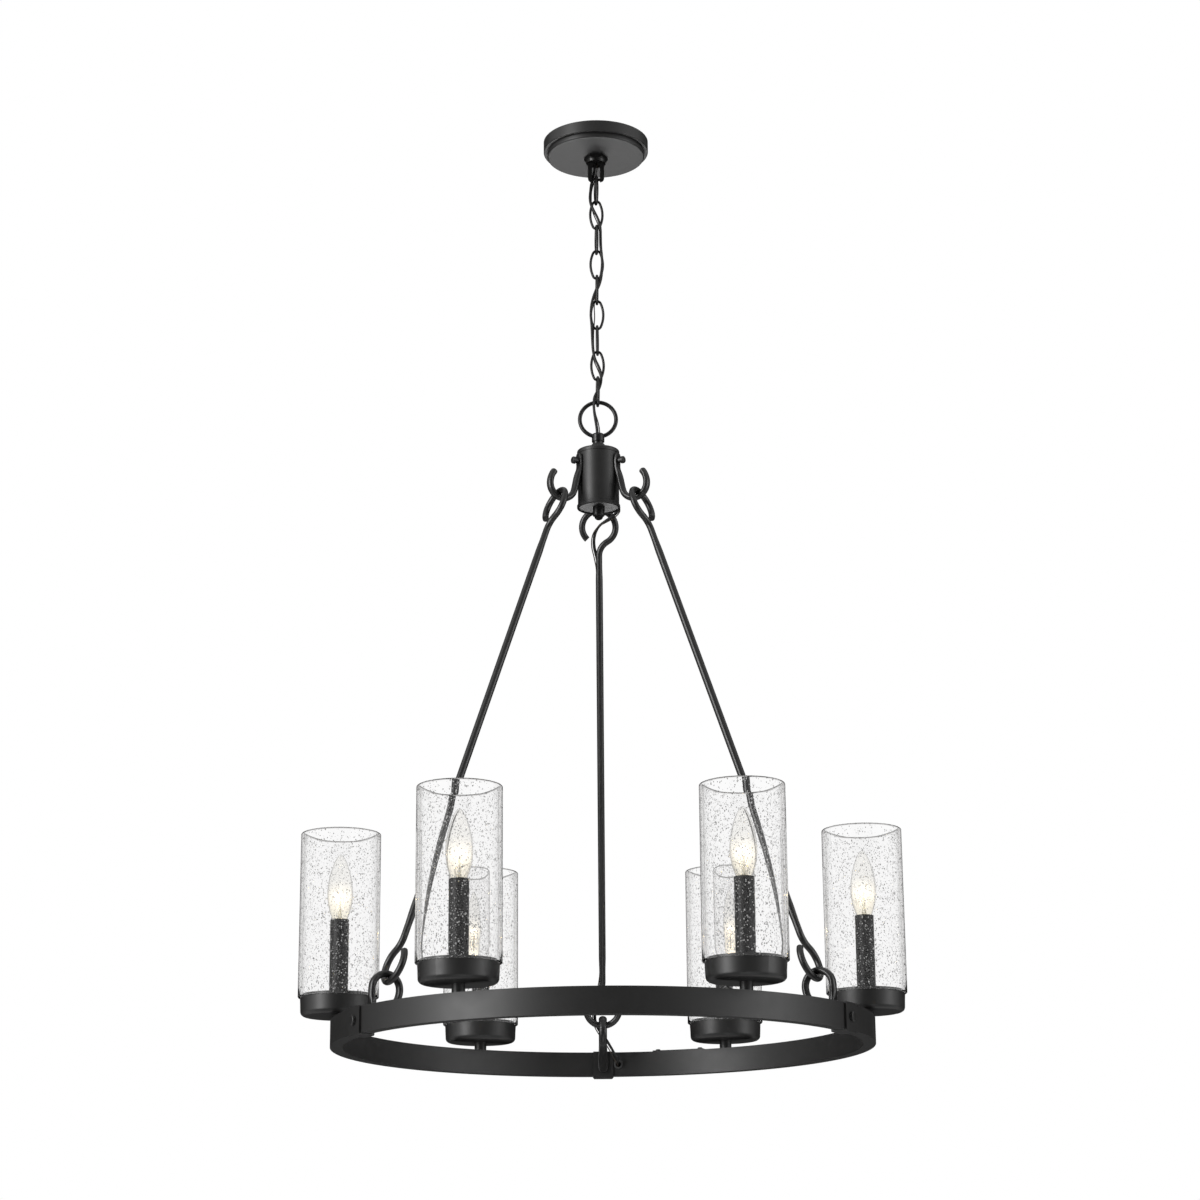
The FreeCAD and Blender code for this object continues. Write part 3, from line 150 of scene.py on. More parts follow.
# Routes of the cords: the points that steer each smooth line, in metres
CHAIN_CORD = (
    (-0.0014, 0, -0.0005), (-0.0014, 0, -0.014), (-0.0014, 0.0002, -0.028), (-0.0018, 0.0031, -0.0395),
    (-0.0046, 0.007, -0.0495), (-0.0068, 0.0064, -0.0605), (-0.0078, 0.0036, -0.072),
    (-0.0086, -0.0006, -0.083), (-0.0072, -0.0049, -0.0945), (-0.0022, -0.0054, -0.1055),
    (0.0028, -0.0052, -0.1155), (0.0054, -0.0046, -0.127), (0.0054, -0.0042, -0.142),
    (0.0056, -0.0044, -0.157), (0.0072, -0.0046, -0.171), (0.0074, -0.0046, -0.184),
    (0.0058, -0.0046, -0.1965), (0.0032, -0.0032, -0.2075), (-0.001, -0.0023, -0.2175),
    (-0.0048, -0.0036, -0.228), (-0.0076, -0.0046, -0.24), (-0.0088, -0.0046, -0.254),
    (-0.0074, -0.0044, -0.267), (-0.0068, -0.004, -0.28), (-0.0064, -0.004, -0.293),
    (-0.0058, -0.0044, -0.306), (-0.0036, -0.0048, -0.318), (0.0014, -0.005, -0.328),
    (0.0048, -0.0046, -0.339), (0.0046, -0.0038, -0.351), (0.0008, -0.0022, -0.3615),
    (-0.0042, -0.0044, -0.3705), (-0.0056, -0.006, -0.381), (-0.005, -0.0044, -0.393),
    (-0.003, -0.0016, -0.405), (-0.001, 0.0003, -0.417), (-0.001, 0.0005, -0.431),
    (-0.0008, 0.0005, -0.4455), (0.0054, 0.0016, -0.4585), (0.012, 0.0064, -0.4675),
    (0.015, 0.0095, -0.476), (0.015, 0.0095, -0.484),
)
CHAIN_GROUND = (
    (0.0023, 0, -0.0005), (0.0023, 0, -0.014), (0.0022, 0.0006, -0.028), (0.0014, 0.0052, -0.0375),
    (-0.0006, 0.0092, -0.047), (-0.004, 0.0099, -0.0575), (-0.0064, 0.008, -0.069),
    (-0.0068, 0.0052, -0.081), (-0.0066, 0.0034, -0.093), (-0.0038, 0.0032, -0.105),
    (0.001, 0.0032, -0.116), (0.0042, 0.0036, -0.128), (0.0046, 0.0036, -0.143), (0.006, 0.0034, -0.158),
    (0.008, 0.0032, -0.17), (0.0082, 0.0032, -0.184), (0.0072, 0.0032, -0.197), (0.0046, 0.0022, -0.208),
    (0.0004, 0.0018, -0.2175), (-0.003, 0.0026, -0.228), (-0.004, 0.0032, -0.24),
    (-0.0032, 0.0032, -0.254), (-0.0042, 0.0032, -0.267), (-0.005, 0.0026, -0.28),
    (-0.005, 0.0026, -0.293), (-0.0054, 0.003, -0.306), (-0.005, 0.0032, -0.318),
    (-0.0006, 0.0032, -0.328), (0.0038, 0.0032, -0.339), (0.0048, 0.0026, -0.351),
    (0.0014, 0.0017, -0.3615), (-0.003, 0.003, -0.3705), (-0.0046, 0.0046, -0.381),
    (-0.0034, 0.0034, -0.393), (0.0002, 0.0016, -0.405), (0.0022, -0.0004, -0.417),
    (0.0022, -0.001, -0.431), (0.0022, -0.0016, -0.4484), (0.0068, -0.003, -0.458),
    (0.0134, -0.0006, -0.4665), (0.0182, 0.0016, -0.4728), (0.0195, 0.0025, -0.4798),
    (0.0195, 0.0025, -0.486),
)
RING_CORD = (
    (0.015, 0.0095, -0.497), (0.015, 0.0095, -0.5035), (0.0176, 0.0143, -0.5102),
    (0.0258, 0.0218, -0.5126), (0.028, 0.0326, -0.5174), (0.0206, 0.0432, -0.5226),
    (0.01, 0.0514, -0.527), (-0.0006, 0.06041, -0.53217), (-0.0064, 0.07024, -0.54222),
    (-0.007, 0.07962, -0.55455), (-0.0026, 0.0882, -0.56878), (0.0012, 0.09454, -0.58999),
    (0.0012, 0.27776, -1.09359), (-0.002, 0.28747, -1.11677), (-0.0075, 0.29694, -1.13578),
    (-0.011, 0.30348, -1.15085), (-0.0106, 0.3081, -1.16444), (-0.0046, 0.3094, -1.17584),
    (0.0036, 0.3099, -1.18584), (0.0096, 0.3104, -1.19584), (0.0154, 0.3111, -1.20584),
    (0.0198, 0.3139, -1.21444), (0.0208, 0.32083, -1.21844), (0.0214, 0.33183, -1.21854),
)
RING_GROUND = (
    (0.0195, 0.0025, -0.497), (0.0195, 0.0025, -0.503), (0.0206, 0.0068, -0.5084),
    (0.0198, 0.0136, -0.5132), (0.0254, 0.021, -0.5157), (0.0296, 0.0318, -0.5202),
    (0.022, 0.0429, -0.5258), (0.0101, 0.05, -0.5301), (-0.0022, 0.05793, -0.53382),
    (-0.0095, 0.06861, -0.5427), (-0.0104, 0.07917, -0.55536), (-0.006, 0.08801, -0.5697),
    (-0.0022, 0.09438, -0.59218), (-0.0022, 0.27617, -1.09215), (-0.0054, 0.28549, -1.11632),
    (-0.0108, 0.29507, -1.13678), (-0.0142, 0.30172, -1.15245), (-0.013, 0.3061, -1.16744),
    (-0.0064, 0.3071, -1.17944), (0.0014, 0.3075, -1.18944), (0.0074, 0.3083, -1.19944),
    (0.0134, 0.3093, -1.20984), (0.018, 0.3121, -1.21864), (0.0204, 0.31983, -1.22174),
    (0.0212, 0.33183, -1.22184),
)

# Nodes of the shader trees


class Shader:
    """The node tree of a material or of the world, with short ways to add and join its nodes."""

    def __init__(self, name, world=False):
        self.owner = (bpy.data.worlds if world else bpy.data.materials).new(name)
        self.owner.use_nodes = True
        self.tree = self.owner.node_tree
        self.tree.nodes.clear()
        self.output = self.node("OutputWorld" if world else "OutputMaterial")

    def node(self, kind, inputs=None, **settings):
        made = self.tree.nodes.new("ShaderNode" + kind)
        for key, value in settings.items():
            setattr(made, key, value)
        for key, value in (inputs or {}).items():
            if isinstance(value, bpy.types.NodeSocket):
                self.tree.links.new(value, made.inputs[key])
            else:
                made.inputs[key].default_value = value
        return made

    def join(self, shader, socket="Surface"):
        """Joins a shader node to the output and gives back the material or the world."""
        self.tree.links.new(shader.outputs[0], self.output.inputs[socket])
        return self.owner

    def surface(self, inputs):
        return self.join(self.node("BsdfPrincipled", inputs))

    def own_place(self):
        """The place in the object's own metres."""
        return self.node("TexCoord").outputs["Object"]

    def place(self, scale=(1, 1, 1)):
        """The object's own place, stretched along its axes."""
        return self.node("Mapping", {"Vector": self.own_place(), "Scale": scale}).outputs[0]

    def height(self):
        return self.node("SeparateXYZ", {0: self.own_place()}).outputs["Z"]

    def facing(self):
        """0 where a face looks at the eye and 1 where it turns away."""
        return self.node("LayerWeight", {"Blend": 0.5}).outputs["Facing"]

    def rays_that_see_white(self):
        """More than 0 for rays from the camera, reflected or through glass, and 0 for scattered light."""
        rays = self.node("LightPath").outputs
        return self.combine("ADD", *(rays[f"Is {kind} Ray"] for kind in ("Camera", "Glossy", "Transmission")))

    def noise(self, place, per_metre, detail=2.0, roughness=0.5, distortion=0.0):
        """A soft cloud of so many spots to the metre, a value round 0.5."""
        return self.node("TexNoise", {"Vector": place, "Scale": per_metre, "Detail": detail,
                                      "Roughness": roughness, "Distortion": distortion}).outputs["Fac"]

    def remap(self, value, low, high, from_low=0.3, from_high=0.7):
        """Carries a value to another range. A noise lies mostly between 0.3 and 0.7."""
        return self.node("MapRange", {"Value": value, "From Min": from_low, "From Max": from_high,
                                      "To Min": low, "To Max": high}).outputs[0]

    def mix(self, factor, first, second):
        return self.node("Mix", {0: factor, 6: first, 7: second}, data_type="RGBA").outputs[2]

    def bump(self, height, distance, before=None):
        inputs = {"Height": height, "Distance": distance, "Strength": 1.0}
        if before is not None:
            inputs["Normal"] = before
        return self.node("Bump", inputs).outputs[0]

    def combine(self, operation, *values, **settings):
        """Joins values one after the other by the same operation of Math."""
        total = values[0]
        for value in values[1:]:
            total = self.node("Math", {0: total, 1: value}, operation=operation, **settings).outputs[0]
        return total

    def spots(self, place, per_metre, small, large):
        """Round spots of uneven size, 1 inside and 0 outside. Their radii are shares of the spacing."""
        cells = self.node("TexVoronoi", {"Vector": place, "Scale": per_metre})
        chance = self.node("SeparateColor", {0: cells.outputs["Color"]}).outputs[0]
        radius = self.remap(chance, small, large, 0, 1)
        share = self.combine("DIVIDE", cells.outputs["Distance"], radius)
        soft_rim = 0.8
        return self.remap(share, 1, 0, soft_rim, 1.0)


def grey(level, warmth=0.0):
    return (level * (1 + warmth), level, level * (1 - warmth), 1)


# Materials

def powder_coat(name, level, rough, peel=0.00003, gloss=0.36):
    """Matte black powder coat: a fine skin like orange peel, with faint uneven patches and dust."""
    s = Shader(name)
    place = s.place()
    patches = s.noise(place, 26, 3)
    dust = s.noise(place, 1900, 1)
    colour = s.mix(s.remap(patches, 0, 1), grey(level * 0.93, 0.02), grey(level * 1.07, 0.02))
    colour = s.mix(s.remap(dust, 0, 0.16, 0.62, 0.78), colour, grey(level * 3.4, 0.02))
    roughness = s.remap(s.noise(place, 70, 2), rough - 0.015, rough + 0.015)
    skin = s.bump(s.noise(place, 820, 2), peel)
    grain = s.bump(s.noise(place, 3200, 1), peel * 0.35, skin)
    return s.surface({"Base Color": colour, "Roughness": roughness, "Normal": grain,
                      "Specular IOR Level": gloss})


def zinc_plate():
    s = Shader("zinc_plate")
    place = s.place()
    spangle = s.node("TexVoronoi", {"Vector": place, "Scale": 420.0}).outputs["Color"]
    tone = s.mix(0.12, grey(0.56, -0.01), spangle)
    roughness = s.remap(s.noise(place, 160, 3), 0.28, 0.46)
    lines = s.bump(s.noise(s.place((0.05, 1, 1)), 900, 1), 0.00002)
    return s.surface({"Base Color": tone, "Metallic": 1.0, "Roughness": roughness, "Normal": lines})


def cord_sheath():
    """Soft black lamp cord: a satin sheath with faint rub marks along it."""
    s = Shader("cord_sheath")
    marks = s.noise(s.place((1, 1, 0.2)), 600, 3)
    colour = s.mix(s.remap(marks, 0, 1), grey(0.006), grey(0.014, 0.03))
    roughness = s.remap(s.noise(s.place(), 300, 2), 0.40, 0.5)
    skin = s.bump(s.noise(s.place((1, 1, 0.25)), 1500, 2), 0.00003)
    return s.surface({"Base Color": colour, "Roughness": roughness, "Normal": skin,
                      "Specular IOR Level": 0.25})


def stranded_wire():
    """Bare ground wire gone dark, its strands laid in a long twist."""
    s = Shader("stranded_wire")
    turned = s.node("TexWave", {"Vector": s.place(), "Scale": 160.0, "Distortion": 0.6, "Detail": 1.0},
                    wave_type="BANDS", bands_direction="DIAGONAL").outputs["Fac"]
    colour = s.mix(turned, grey(0.010, 0.2), grey(0.03, 0.3))
    lay = s.bump(turned, 0.00012)
    return s.surface({"Base Color": colour, "Roughness": 0.62, "Normal": lay, "Specular IOR Level": 0.2})


def soft_rubber():
    s = Shader("soft_rubber")
    place = s.place()
    colour = s.mix(s.remap(s.noise(place, 700, 2), 0, 1), grey(0.012), grey(0.026))
    skin = s.bump(s.noise(place, 1800, 2), 0.00004)
    return s.surface({"Base Color": colour, "Roughness": 0.62, "Normal": skin})


def porcelain():
    s = Shader("porcelain")
    place = s.place()
    colour = s.mix(s.remap(s.noise(place, 200, 3), 0, 1), (0.72, 0.70, 0.64, 1), (0.82, 0.80, 0.75, 1))
    skin = s.bump(s.noise(place, 600, 2), 0.00003)
    return s.surface({"Base Color": colour, "Roughness": 0.3, "Normal": skin})


def seeded_glass():
    """Clear drawn glass: faint waves, open seeds that show pale on dark and grey on white, a painted shade
    along its edges and a painted dark line on its top lip.
    """
    s = Shader("seeded_glass")
    waves = s.noise(s.place((1, 1, 0.5)), 60, 2, distortion=0.4)
    open_seeds = s.combine("MAXIMUM", s.spots(s.place((1, 1, 0.8)), *FINE_SPOTS),
                           s.spots(s.place((1, 1, 0.7)), *COARSE_SPOTS))
    skin = s.bump(open_seeds, 0.0002, s.bump(waves, 0.00003))
    clear = s.mix(s.remap(waves, 0, 1), (0.999, 0.998, 0.998, 1), (0.990, 0.988, 0.989, 1))
    seeded = s.mix(open_seeds, clear, grey(0.66, 0.01))
    # Painted shade: the glass is tinted dark grey where its faces turn away from the eye, which draws its
    # dark edges
    tint = s.mix(s.remap(s.facing(), 0, 1, *CYLINDER_EDGE_SHADE), seeded, grey(0.42, 0.02))
    # Painted dark line along the lip: the glass turns dark grey over its last few millimetres under the top
    lip = s.remap(s.height(), 0, 1, GLASS_TOP_Z - LIP_STARTS_BELOW, GLASS_TOP_Z - LIP_FULL_BELOW)
    tint = s.mix(lip, tint, grey(0.26, 0.02))
    thick = s.node("VolumeAbsorption", {"Color": (0.16, 0.15, 0.13, 1), "Density": 8.0})
    s.join(thick, "Volume")
    return s.surface({"Base Color": tint, "Roughness": 0.0, "IOR": SOFT_GLASS_IOR,
                      "Specular IOR Level": 0.25, "Normal": skin,
                      "Transmission Weight": s.remap(open_seeds, 1.0, 0.05, 0, 1)})


def seed_bubble():
    """The wall of a gas bubble in the glass: clear in its middle, with a painted shade round its rim."""
    s = Shader("seed_bubble")
    clear = s.mix(s.remap(s.noise(s.place(), 300, 1), 0, 1), grey(0.88), grey(0.98))
    # Painted shade: the bubble turns nearly black where its faces turn away from the eye
    tint = s.mix(s.remap(s.facing(), 0, 1, *BUBBLE_RIM_SHADE), clear, grey(0.06))
    return s.surface({"Base Color": tint, "Roughness": 0.0, "IOR": SOFT_GLASS_IOR,
                      "Transmission Weight": 1.0})


def lamp_glass():
    """The thin clear wall of a lit lamp: a painted glow round the filament, warm below and clear above, and a
    painted shade on its edges.
    """
    s = Shader("lamp_glass")
    height, facing = s.height(), s.facing()
    low = s.remap(height, 1, 0, WARM_FULL_Z, WARM_GONE_Z)
    tint = s.mix(low, (0.99, 0.985, 0.97, 1), (1.0, 0.97, 0.89, 1))
    glow = s.mix(low, (1.0, 0.92, 0.78, 1), (1.0, 0.80, 0.48, 1))
    # Painted glow: the glass itself emits, most at the filament's height and where it faces the eye
    near = s.combine("MULTIPLY", s.remap(height, 0, 1, GLOW_LOW_Z, GLOW_MIDDLE_Z),
                     s.remap(height, 1, 0, GLOW_MIDDLE_Z, GLOW_HIGH_Z))
    strength = s.combine("MULTIPLY", near, near, s.remap(facing, 1, 0, 0.0, 0.5), GLOW_STRENGTH)
    # Painted shade: the glass turns dark grey where its faces turn away from the eye, which draws the lamp's
    # outline
    tint = s.mix(s.remap(facing, 0, 1, *LAMP_EDGE_SHADE), tint, grey(0.26, 0.03))
    return s.surface({"Base Color": tint, "Roughness": 0.0, "IOR": LAMP_GLASS_IOR,
                      "Transmission Weight": 1.0, "Emission Color": glow, "Emission Strength": strength})


def stem_glass():
    s = Shader("stem_glass")
    tint = s.mix(s.remap(s.noise(s.place(), 500, 2), 0, 1), (0.95, 0.93, 0.86, 1), (0.86, 0.82, 0.70, 1))
    return s.surface({"Base Color": tint, "Roughness": 0.12, "IOR": LAMP_GLASS_IOR,
                      "Transmission Weight": 0.8})


def hot_filament():
    s = Shader("hot_filament")
    heat = s.mix(s.noise(s.place(), 900, 1), (1.0, 0.70, 0.30, 1), (1.0, 0.86, 0.58, 1))
    return s.surface({"Base Color": heat, "Roughness": 0.5, "Emission Color": heat,
                      "Emission Strength": FILAMENT_STRENGTH})


def brass_cap():
    s = Shader("brass_cap")
    place = s.place()
    tone = s.mix(s.remap(s.noise(place, 350, 3), 0, 1), (0.62, 0.42, 0.16, 1), (0.78, 0.58, 0.26, 1))
    roughness = s.remap(s.noise(place, 900, 2), 0.2, 0.38)
    lines = s.bump(s.noise(s.place((1, 1, 6)), 700, 1), 0.00002)
    return s.surface({"Base Color": tone, "Metallic": 1.0, "Roughness": roughness, "Normal": lines})


def studio_floor():
    """A pale floor that fades into the white behind it and still takes the object's shadow."""
    s = Shader("studio_floor")
    place = s.own_place()
    away = s.node("VectorMath", {0: place}, operation="LENGTH").outputs["Value"]
    fade_from, fade_to, least_white = 1.5, 7.0, 0.70
    fade = s.remap(away, least_white, 1.0, fade_from, fade_to)
    share = s.combine("MULTIPLY", s.rays_that_see_white(), fade, use_clamp=True)
    paper = s.mix(s.remap(s.noise(place, 40, 3), 0, 1), grey(0.86), grey(0.9))
    diffuse = s.node("BsdfDiffuse", {"Color": paper}).outputs[0]
    white = s.node("Emission", {"Color": (1, 1, 1, 1), "Strength": 1.0}).outputs[0]
    return s.join(s.node("MixShader", {0: share, 1: diffuse, 2: white}))


def dark_cloth():
    s = Shader("dark_cloth")
    cloth = s.mix(s.noise(s.place(), 30, 2), grey(0.004), grey(0.012))
    return s.surface({"Base Color": cloth, "Roughness": 1.0, "Specular IOR Level": 0.0})


# Camera, world, lamps, cards and floor

def aim_camera():
    data = bpy.data.cameras.new("camera")
    data.sensor_width = SENSOR_MM
    data.lens = FOCAL_PX * SENSOR_MM / IMAGE_WIDTH_PX
    data.clip_start = 0.05
    data.clip_end = 60.0
    camera = bpy.data.objects.new("camera", data)
    bpy.context.scene.collection.objects.link(camera)
    look = Matrix.Rotation(math.radians(90 + CAMERA_PITCH_DEG), 4, "X")
    roll = Matrix.Rotation(math.radians(CAMERA_ROLL_DEG), 4, "Z")
    camera.matrix_world = Matrix.Translation(CAMERA_AT) @ look @ roll
    bpy.context.scene.camera = camera


def light_world():
    """White to the eye, in what shines and through glass, and dimmer as light on what is matte."""
    s = Shader("studio", world=True)
    level = s.remap(s.rays_that_see_white(), WORLD_ON_MATTE, 1.0, 0, 1)
    bpy.context.scene.world = s.join(s.node("Background", {"Color": (1, 1, 1, 1), "Strength": level}))


def soft_lamp(name, place, target, size, watts):
    """A lamp that glows over a rectangle. It can be seen in reflections, and not straight on or in glass."""
    data = bpy.data.lights.new(name, "AREA")
    data.shape = "RECTANGLE"
    data.size, data.size_y = size
    data.energy = watts
    lamp = bpy.data.objects.new(name, data)
    bpy.context.scene.collection.objects.link(lamp)
    lamp.location = place
    lamp.visible_camera = False
    lamp.visible_transmission = False
    lamp.rotation_mode = "QUATERNION"
    lamp.rotation_quaternion = (Vector(place) - Vector(target)).to_track_quat("Z", "Y")


def light_studio():
    soft_lamp("key", (-3.15, -2.3, -0.1), STUDIO_MIDDLE, (0.9, 2.8), 180)
    soft_lamp("fill", (3.6, -1.4, -0.4), STUDIO_MIDDLE, (1.0, 2.6), 55)
    soft_lamp("back_left", (-2.2, 3.0, 0.2), STUDIO_MIDDLE, (1.0, 2.4), 3)
    soft_lamp("back_right", (2.4, 2.8, 0.2), STUDIO_MIDDLE, (1.0, 2.4), 3)
    soft_lamp("under", (0.3, -1.6, -2.7), STUDIO_MIDDLE, (1.6, 1.6), 18)
    soft_lamp("bounce", (-0.2, 2.2, -2.3), (0, 0, 0), (1.8, 1.2), 85)


def hang_dark_cards():
    """The unlit studio: a card and its foot before the object and a card behind, seen in reflections."""
    material = dark_cloth()
    low, high = -2.85, 2.6
    front_y, foot_y, front_half = -5.2, -0.9, 3.2
    behind_y, behind_half = 2.4, 9
    front = [(-front_half, front_y, low), (front_half, front_y, low), (front_half, front_y, high),
             (-front_half, front_y, high), (front_half, foot_y, low), (-front_half, foot_y, low)]
    behind = [(-behind_half, behind_y, low), (behind_half, behind_y, low), (behind_half, behind_y, high),
              (-behind_half, behind_y, high)]
    upright, foot = (0, 1, 2, 3), (5, 4, 1, 0)
    for name, points, faces in (("dark_card", front, [upright, foot]),
                                ("dark_card_behind", behind, [upright])):
        card = new_piece(name, points, faces, [material])
        card.visible_camera = False
        card.visible_diffuse = False
        card.visible_shadow = False
        card.visible_transmission = False


def lay_floor():
    mesh = bpy.data.meshes.new("floor")
    radii, around = (2.0, 6.0, 30.0), 48
    points = [(0, 0, 0)] + [(x, y, 0) for radius in radii for x, y in circle(radius, around)]
    after = [(k + 1) % around for k in range(around)]
    faces = [(0, 1 + k, 1 + after[k]) for k in range(around)]
    for band in range(len(radii) - 1):
        inner = 1 + band * around
        outer = inner + around
        faces += [(inner + k, outer + k, outer + after[k], inner + after[k]) for k in range(around)]
    mesh.from_pydata(points, [], faces)
    floor = bpy.data.objects.new("floor", mesh)
    bpy.context.scene.collection.objects.link(floor)
    floor.location = (0, 0, FLOOR_Z)
    floor.data.materials.append(studio_floor())


# Meshes

def new_piece(name, points, faces, materials, face_slots=None):
    mesh = bpy.data.meshes.new(name)
    mesh.from_pydata(points, [], faces)
    mesh.validate()
    mesh.polygons.foreach_set("use_smooth", [True] * len(mesh.polygons))
    piece = bpy.data.objects.new(name, mesh)
    bpy.context.scene.collection.objects.link(piece)
    for material in materials:
        piece.data.materials.append(material)
    if face_slots is not None:
        mesh.polygons.foreach_set("material_index", face_slots)
    return piece


def circle(radius, count, centre=(0, 0)):
    """Points of a level circle, counted from the right as seen in the photograph, the far side first."""
    turns = [2 * math.pi * k / count for k in range(count)]
    return [(centre[0] + radius * math.cos(t), centre[1] + radius * math.sin(t)) for t in turns]


def light_places():
    """The axes of the lights, counted like the points of a circle."""
    return circle(RING_MID_RADIUS, LIGHT_COUNT)


def shifted(faces, first):
    return [tuple(first + i for i in face) for face in faces]


def turned_inward(faces):
    return [tuple(reversed(face)) for face in faces]


def lathe(outline, centre, around, closed=False):
    """Points and faces of an outline of (radius, height) turned about a vertical line."""
    on_axis = 1e-6
    points, faces, rows = [], [], []
    for radius, height in outline:
        if radius < on_axis:
            rows.append([len(points)] * around)
            points.append((centre[0], centre[1], height))
        else:
            rows.append(list(range(len(points), len(points) + around)))
            points += [(x, y, height) for x, y in circle(radius, around, centre)]
    pairs = list(zip(rows, rows[1:] + rows[:1] if closed else rows[1:]))
    for low, high in pairs:
        for k in range(around):
            corners = [low[k], low[(k + 1) % around], high[(k + 1) % around], high[k]]
            face = [c for i, c in enumerate(corners) if c != corners[i - 1]]
            if len(face) > 2:
                faces.append(face)
    return points, faces


def arc(centre, radius, start_deg, end_deg, steps):
    """Points of a round corner in the plane of an outline."""
    turns = [math.radians(start_deg + (end_deg - start_deg) * k / steps) for k in range(steps + 1)]
    return [(centre[0] + radius * math.cos(t), centre[1] + radius * math.sin(t)) for t in turns]


def spline_value(a, b, c, d, t):
    """The value between b and c on a smooth line through all four."""
    return 0.5 * (2 * b + (c - a) * t + (2 * a - 5 * b + 4 * c - d) * t ** 2
                  + (3 * b - a - 3 * c + d) * t ** 3)


def smooth_outline(shares, radius, base, height, steps=6):
    """A smooth outline through points given as shares of its width and height."""
    made = []
    for i in range(len(shares) - 1):
        before = shares[max(i - 1, 0)]
        after = shares[min(i + 2, len(shares) - 1)]
        for k in range(steps):
            made.append(tuple(spline_value(before[a], shares[i][a], shares[i + 1][a], after[a], k / steps)
                              for a in (0, 1)))
    made.append(shares[-1])
    return [(max(0.0, radius * width), base + height * rise) for width, rise in made]


# Cords

def smooth_line(name, points, steps=8):
    """Points along the smooth line that a route's points steer."""
    curve = bpy.data.curves.new(name, "CURVE")
    curve.dimensions = "3D"
    curve.resolution_u = steps
    spline = curve.splines.new("NURBS")
    spline.points.add(len(points) - 1)
    for place, point in zip(spline.points, points):
        place.co = (*point, 1.0)
    spline.order_u = 3
    spline.use_endpoint_u = True
    holder = bpy.data.objects.new(name, curve)
    mesh = bpy.data.meshes.new_from_object(holder)
    line = [vertex.co.copy() for vertex in mesh.vertices]
    bpy.data.meshes.remove(mesh)
    bpy.data.objects.remove(holder)
    bpy.data.curves.remove(curve)
    return line


def twin_section():
    """Two round cores side by side with a groove between them, as a lamp cord has."""
    lobe = CORD_THICKNESS / 2
    away = CORD_WIDTH / 2 - lobe
    groove = lobe * 0.72
    right = arc((away, 0), lobe, -120, 120, 10)
    left = arc((-away, 0), lobe, 60, 300, 10)
    return right + [(0, groove)] + left + [(0, -groove)]


def section_rings(line, section, turns_per_metre=0.0, start_turn=0.0):
    """The section square to the line at each of its points, turning slowly on its way."""
    rings, run = [], 0.0
    side = Vector((1, 0, 0))
    for i, place in enumerate(line):
        along = (line[min(i + 1, len(line) - 1)] - line[max(i - 1, 0)]).normalized()
        side = (side - along * side.dot(along)).normalized()
        if i:
            run += (place - line[i - 1]).length
        turn = start_turn + 2 * math.pi * turns_per_metre * run
        across = side * math.cos(turn) + along.cross(side) * math.sin(turn)
        up = along.cross(across)
        rings.append([place + across * x + up * y for x, y in section])
    return rings


def tube_piece(name, rings, material):
    """A closed skin over a row of rings."""
    count = len(rings[0])
    points = [tuple(p) for ring in rings for p in ring]
    faces = []
    for first in range(0, (len(rings) - 1) * count, count):
        second = first + count
        faces += [[second + k, second + (k + 1) % count, first + (k + 1) % count, first + k]
                  for k in range(count)]
    faces.append(list(range(count)))
    last = (len(rings) - 1) * count
    faces.append([last + k for k in reversed(range(count))])
    return new_piece(name, points, faces, [material])


def link_centre(number):
    return FIRST_LINK_Z - LINK_PITCH * (number - 1)


def chain_cord(name, points, section, diameter, material, slot, turns_per_metre=0.0):
    """A cord down the chain in ten lengths, cut at the heights of the links' middles."""
    line = smooth_line(name, points)
    rings = section_rings(line, section, turns_per_metre)
    numbers = range(1, LINK_COUNT + 1)
    cuts = [0] + [next(i for i, p in enumerate(line) if p.z <= link_centre(n)) for n in numbers]
    cuts.append(len(line) - 1)
    for part, (start, end) in enumerate(zip(cuts, cuts[1:])):
        piece = tube_piece(f"{name}_{part + 1}", rings[start:end + 1], material)
        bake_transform(piece)
        if part == 0:
            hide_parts(name)


def ring_cord(name, points, section, diameter, material, slot, turns_per_metre=0.0, start_turn=0.0):
    """A cord from the hub down behind the back rod to the ring."""
    line = smooth_line(name, points)
    rings = section_rings(line, section, turns_per_metre, start_turn)
    piece = tube_piece(f"{name}_sheath", rings, material)
    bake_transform(piece)
    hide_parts(name)


def make_cords():
    cord = (twin_section(), CORD_WIDTH, cord_sheath(), "cord_black")
    wire = (circle(GROUND_DIAMETER / 2, 10), GROUND_DIAMETER, stranded_wire(), "ground_wire")
    chain_cord("chain_cord", CHAIN_CORD, *cord, turns_per_metre=7.0)
    chain_cord("chain_ground_wire", CHAIN_GROUND, *wire)
    ring_cord("ring_cord", RING_CORD, *cord, turns_per_metre=4.0, start_turn=0.6)
    ring_cord("ring_ground_wire", RING_GROUND, *wire)


# Glass shades

def octahedron():
    points = [(1, 0, 0), (0, 1, 0), (-1, 0, 0), (0, -1, 0), (0, 0, 1), (0, 0, -1)]
    faces = [(0, 1, 4), (1, 2, 4), (2, 3, 4), (3, 0, 4), (1, 0, 5), (2, 1, 5), (3, 2, 5), (0, 3, 5)]
    return points, faces


def rounder(points, faces):
    """Splits each triangle in four and puts the new points on the unit ball."""
    points, middles, made = list(points), {}, []

    def middle(a, b):
        key = (min(a, b), max(a, b))
        if key not in middles:
            middles[key] = len(points)
            points.append(tuple((Vector(points[a]) + Vector(points[b])).normalized()))
        return middles[key]

    for a, b, c in faces:
        ab, bc, ca = middle(a, b), middle(b, c), middle(c, a)
        made += [(a, ab, ca), (b, bc, ab), (c, ca, bc), (ab, bc, ca)]
    return points, made


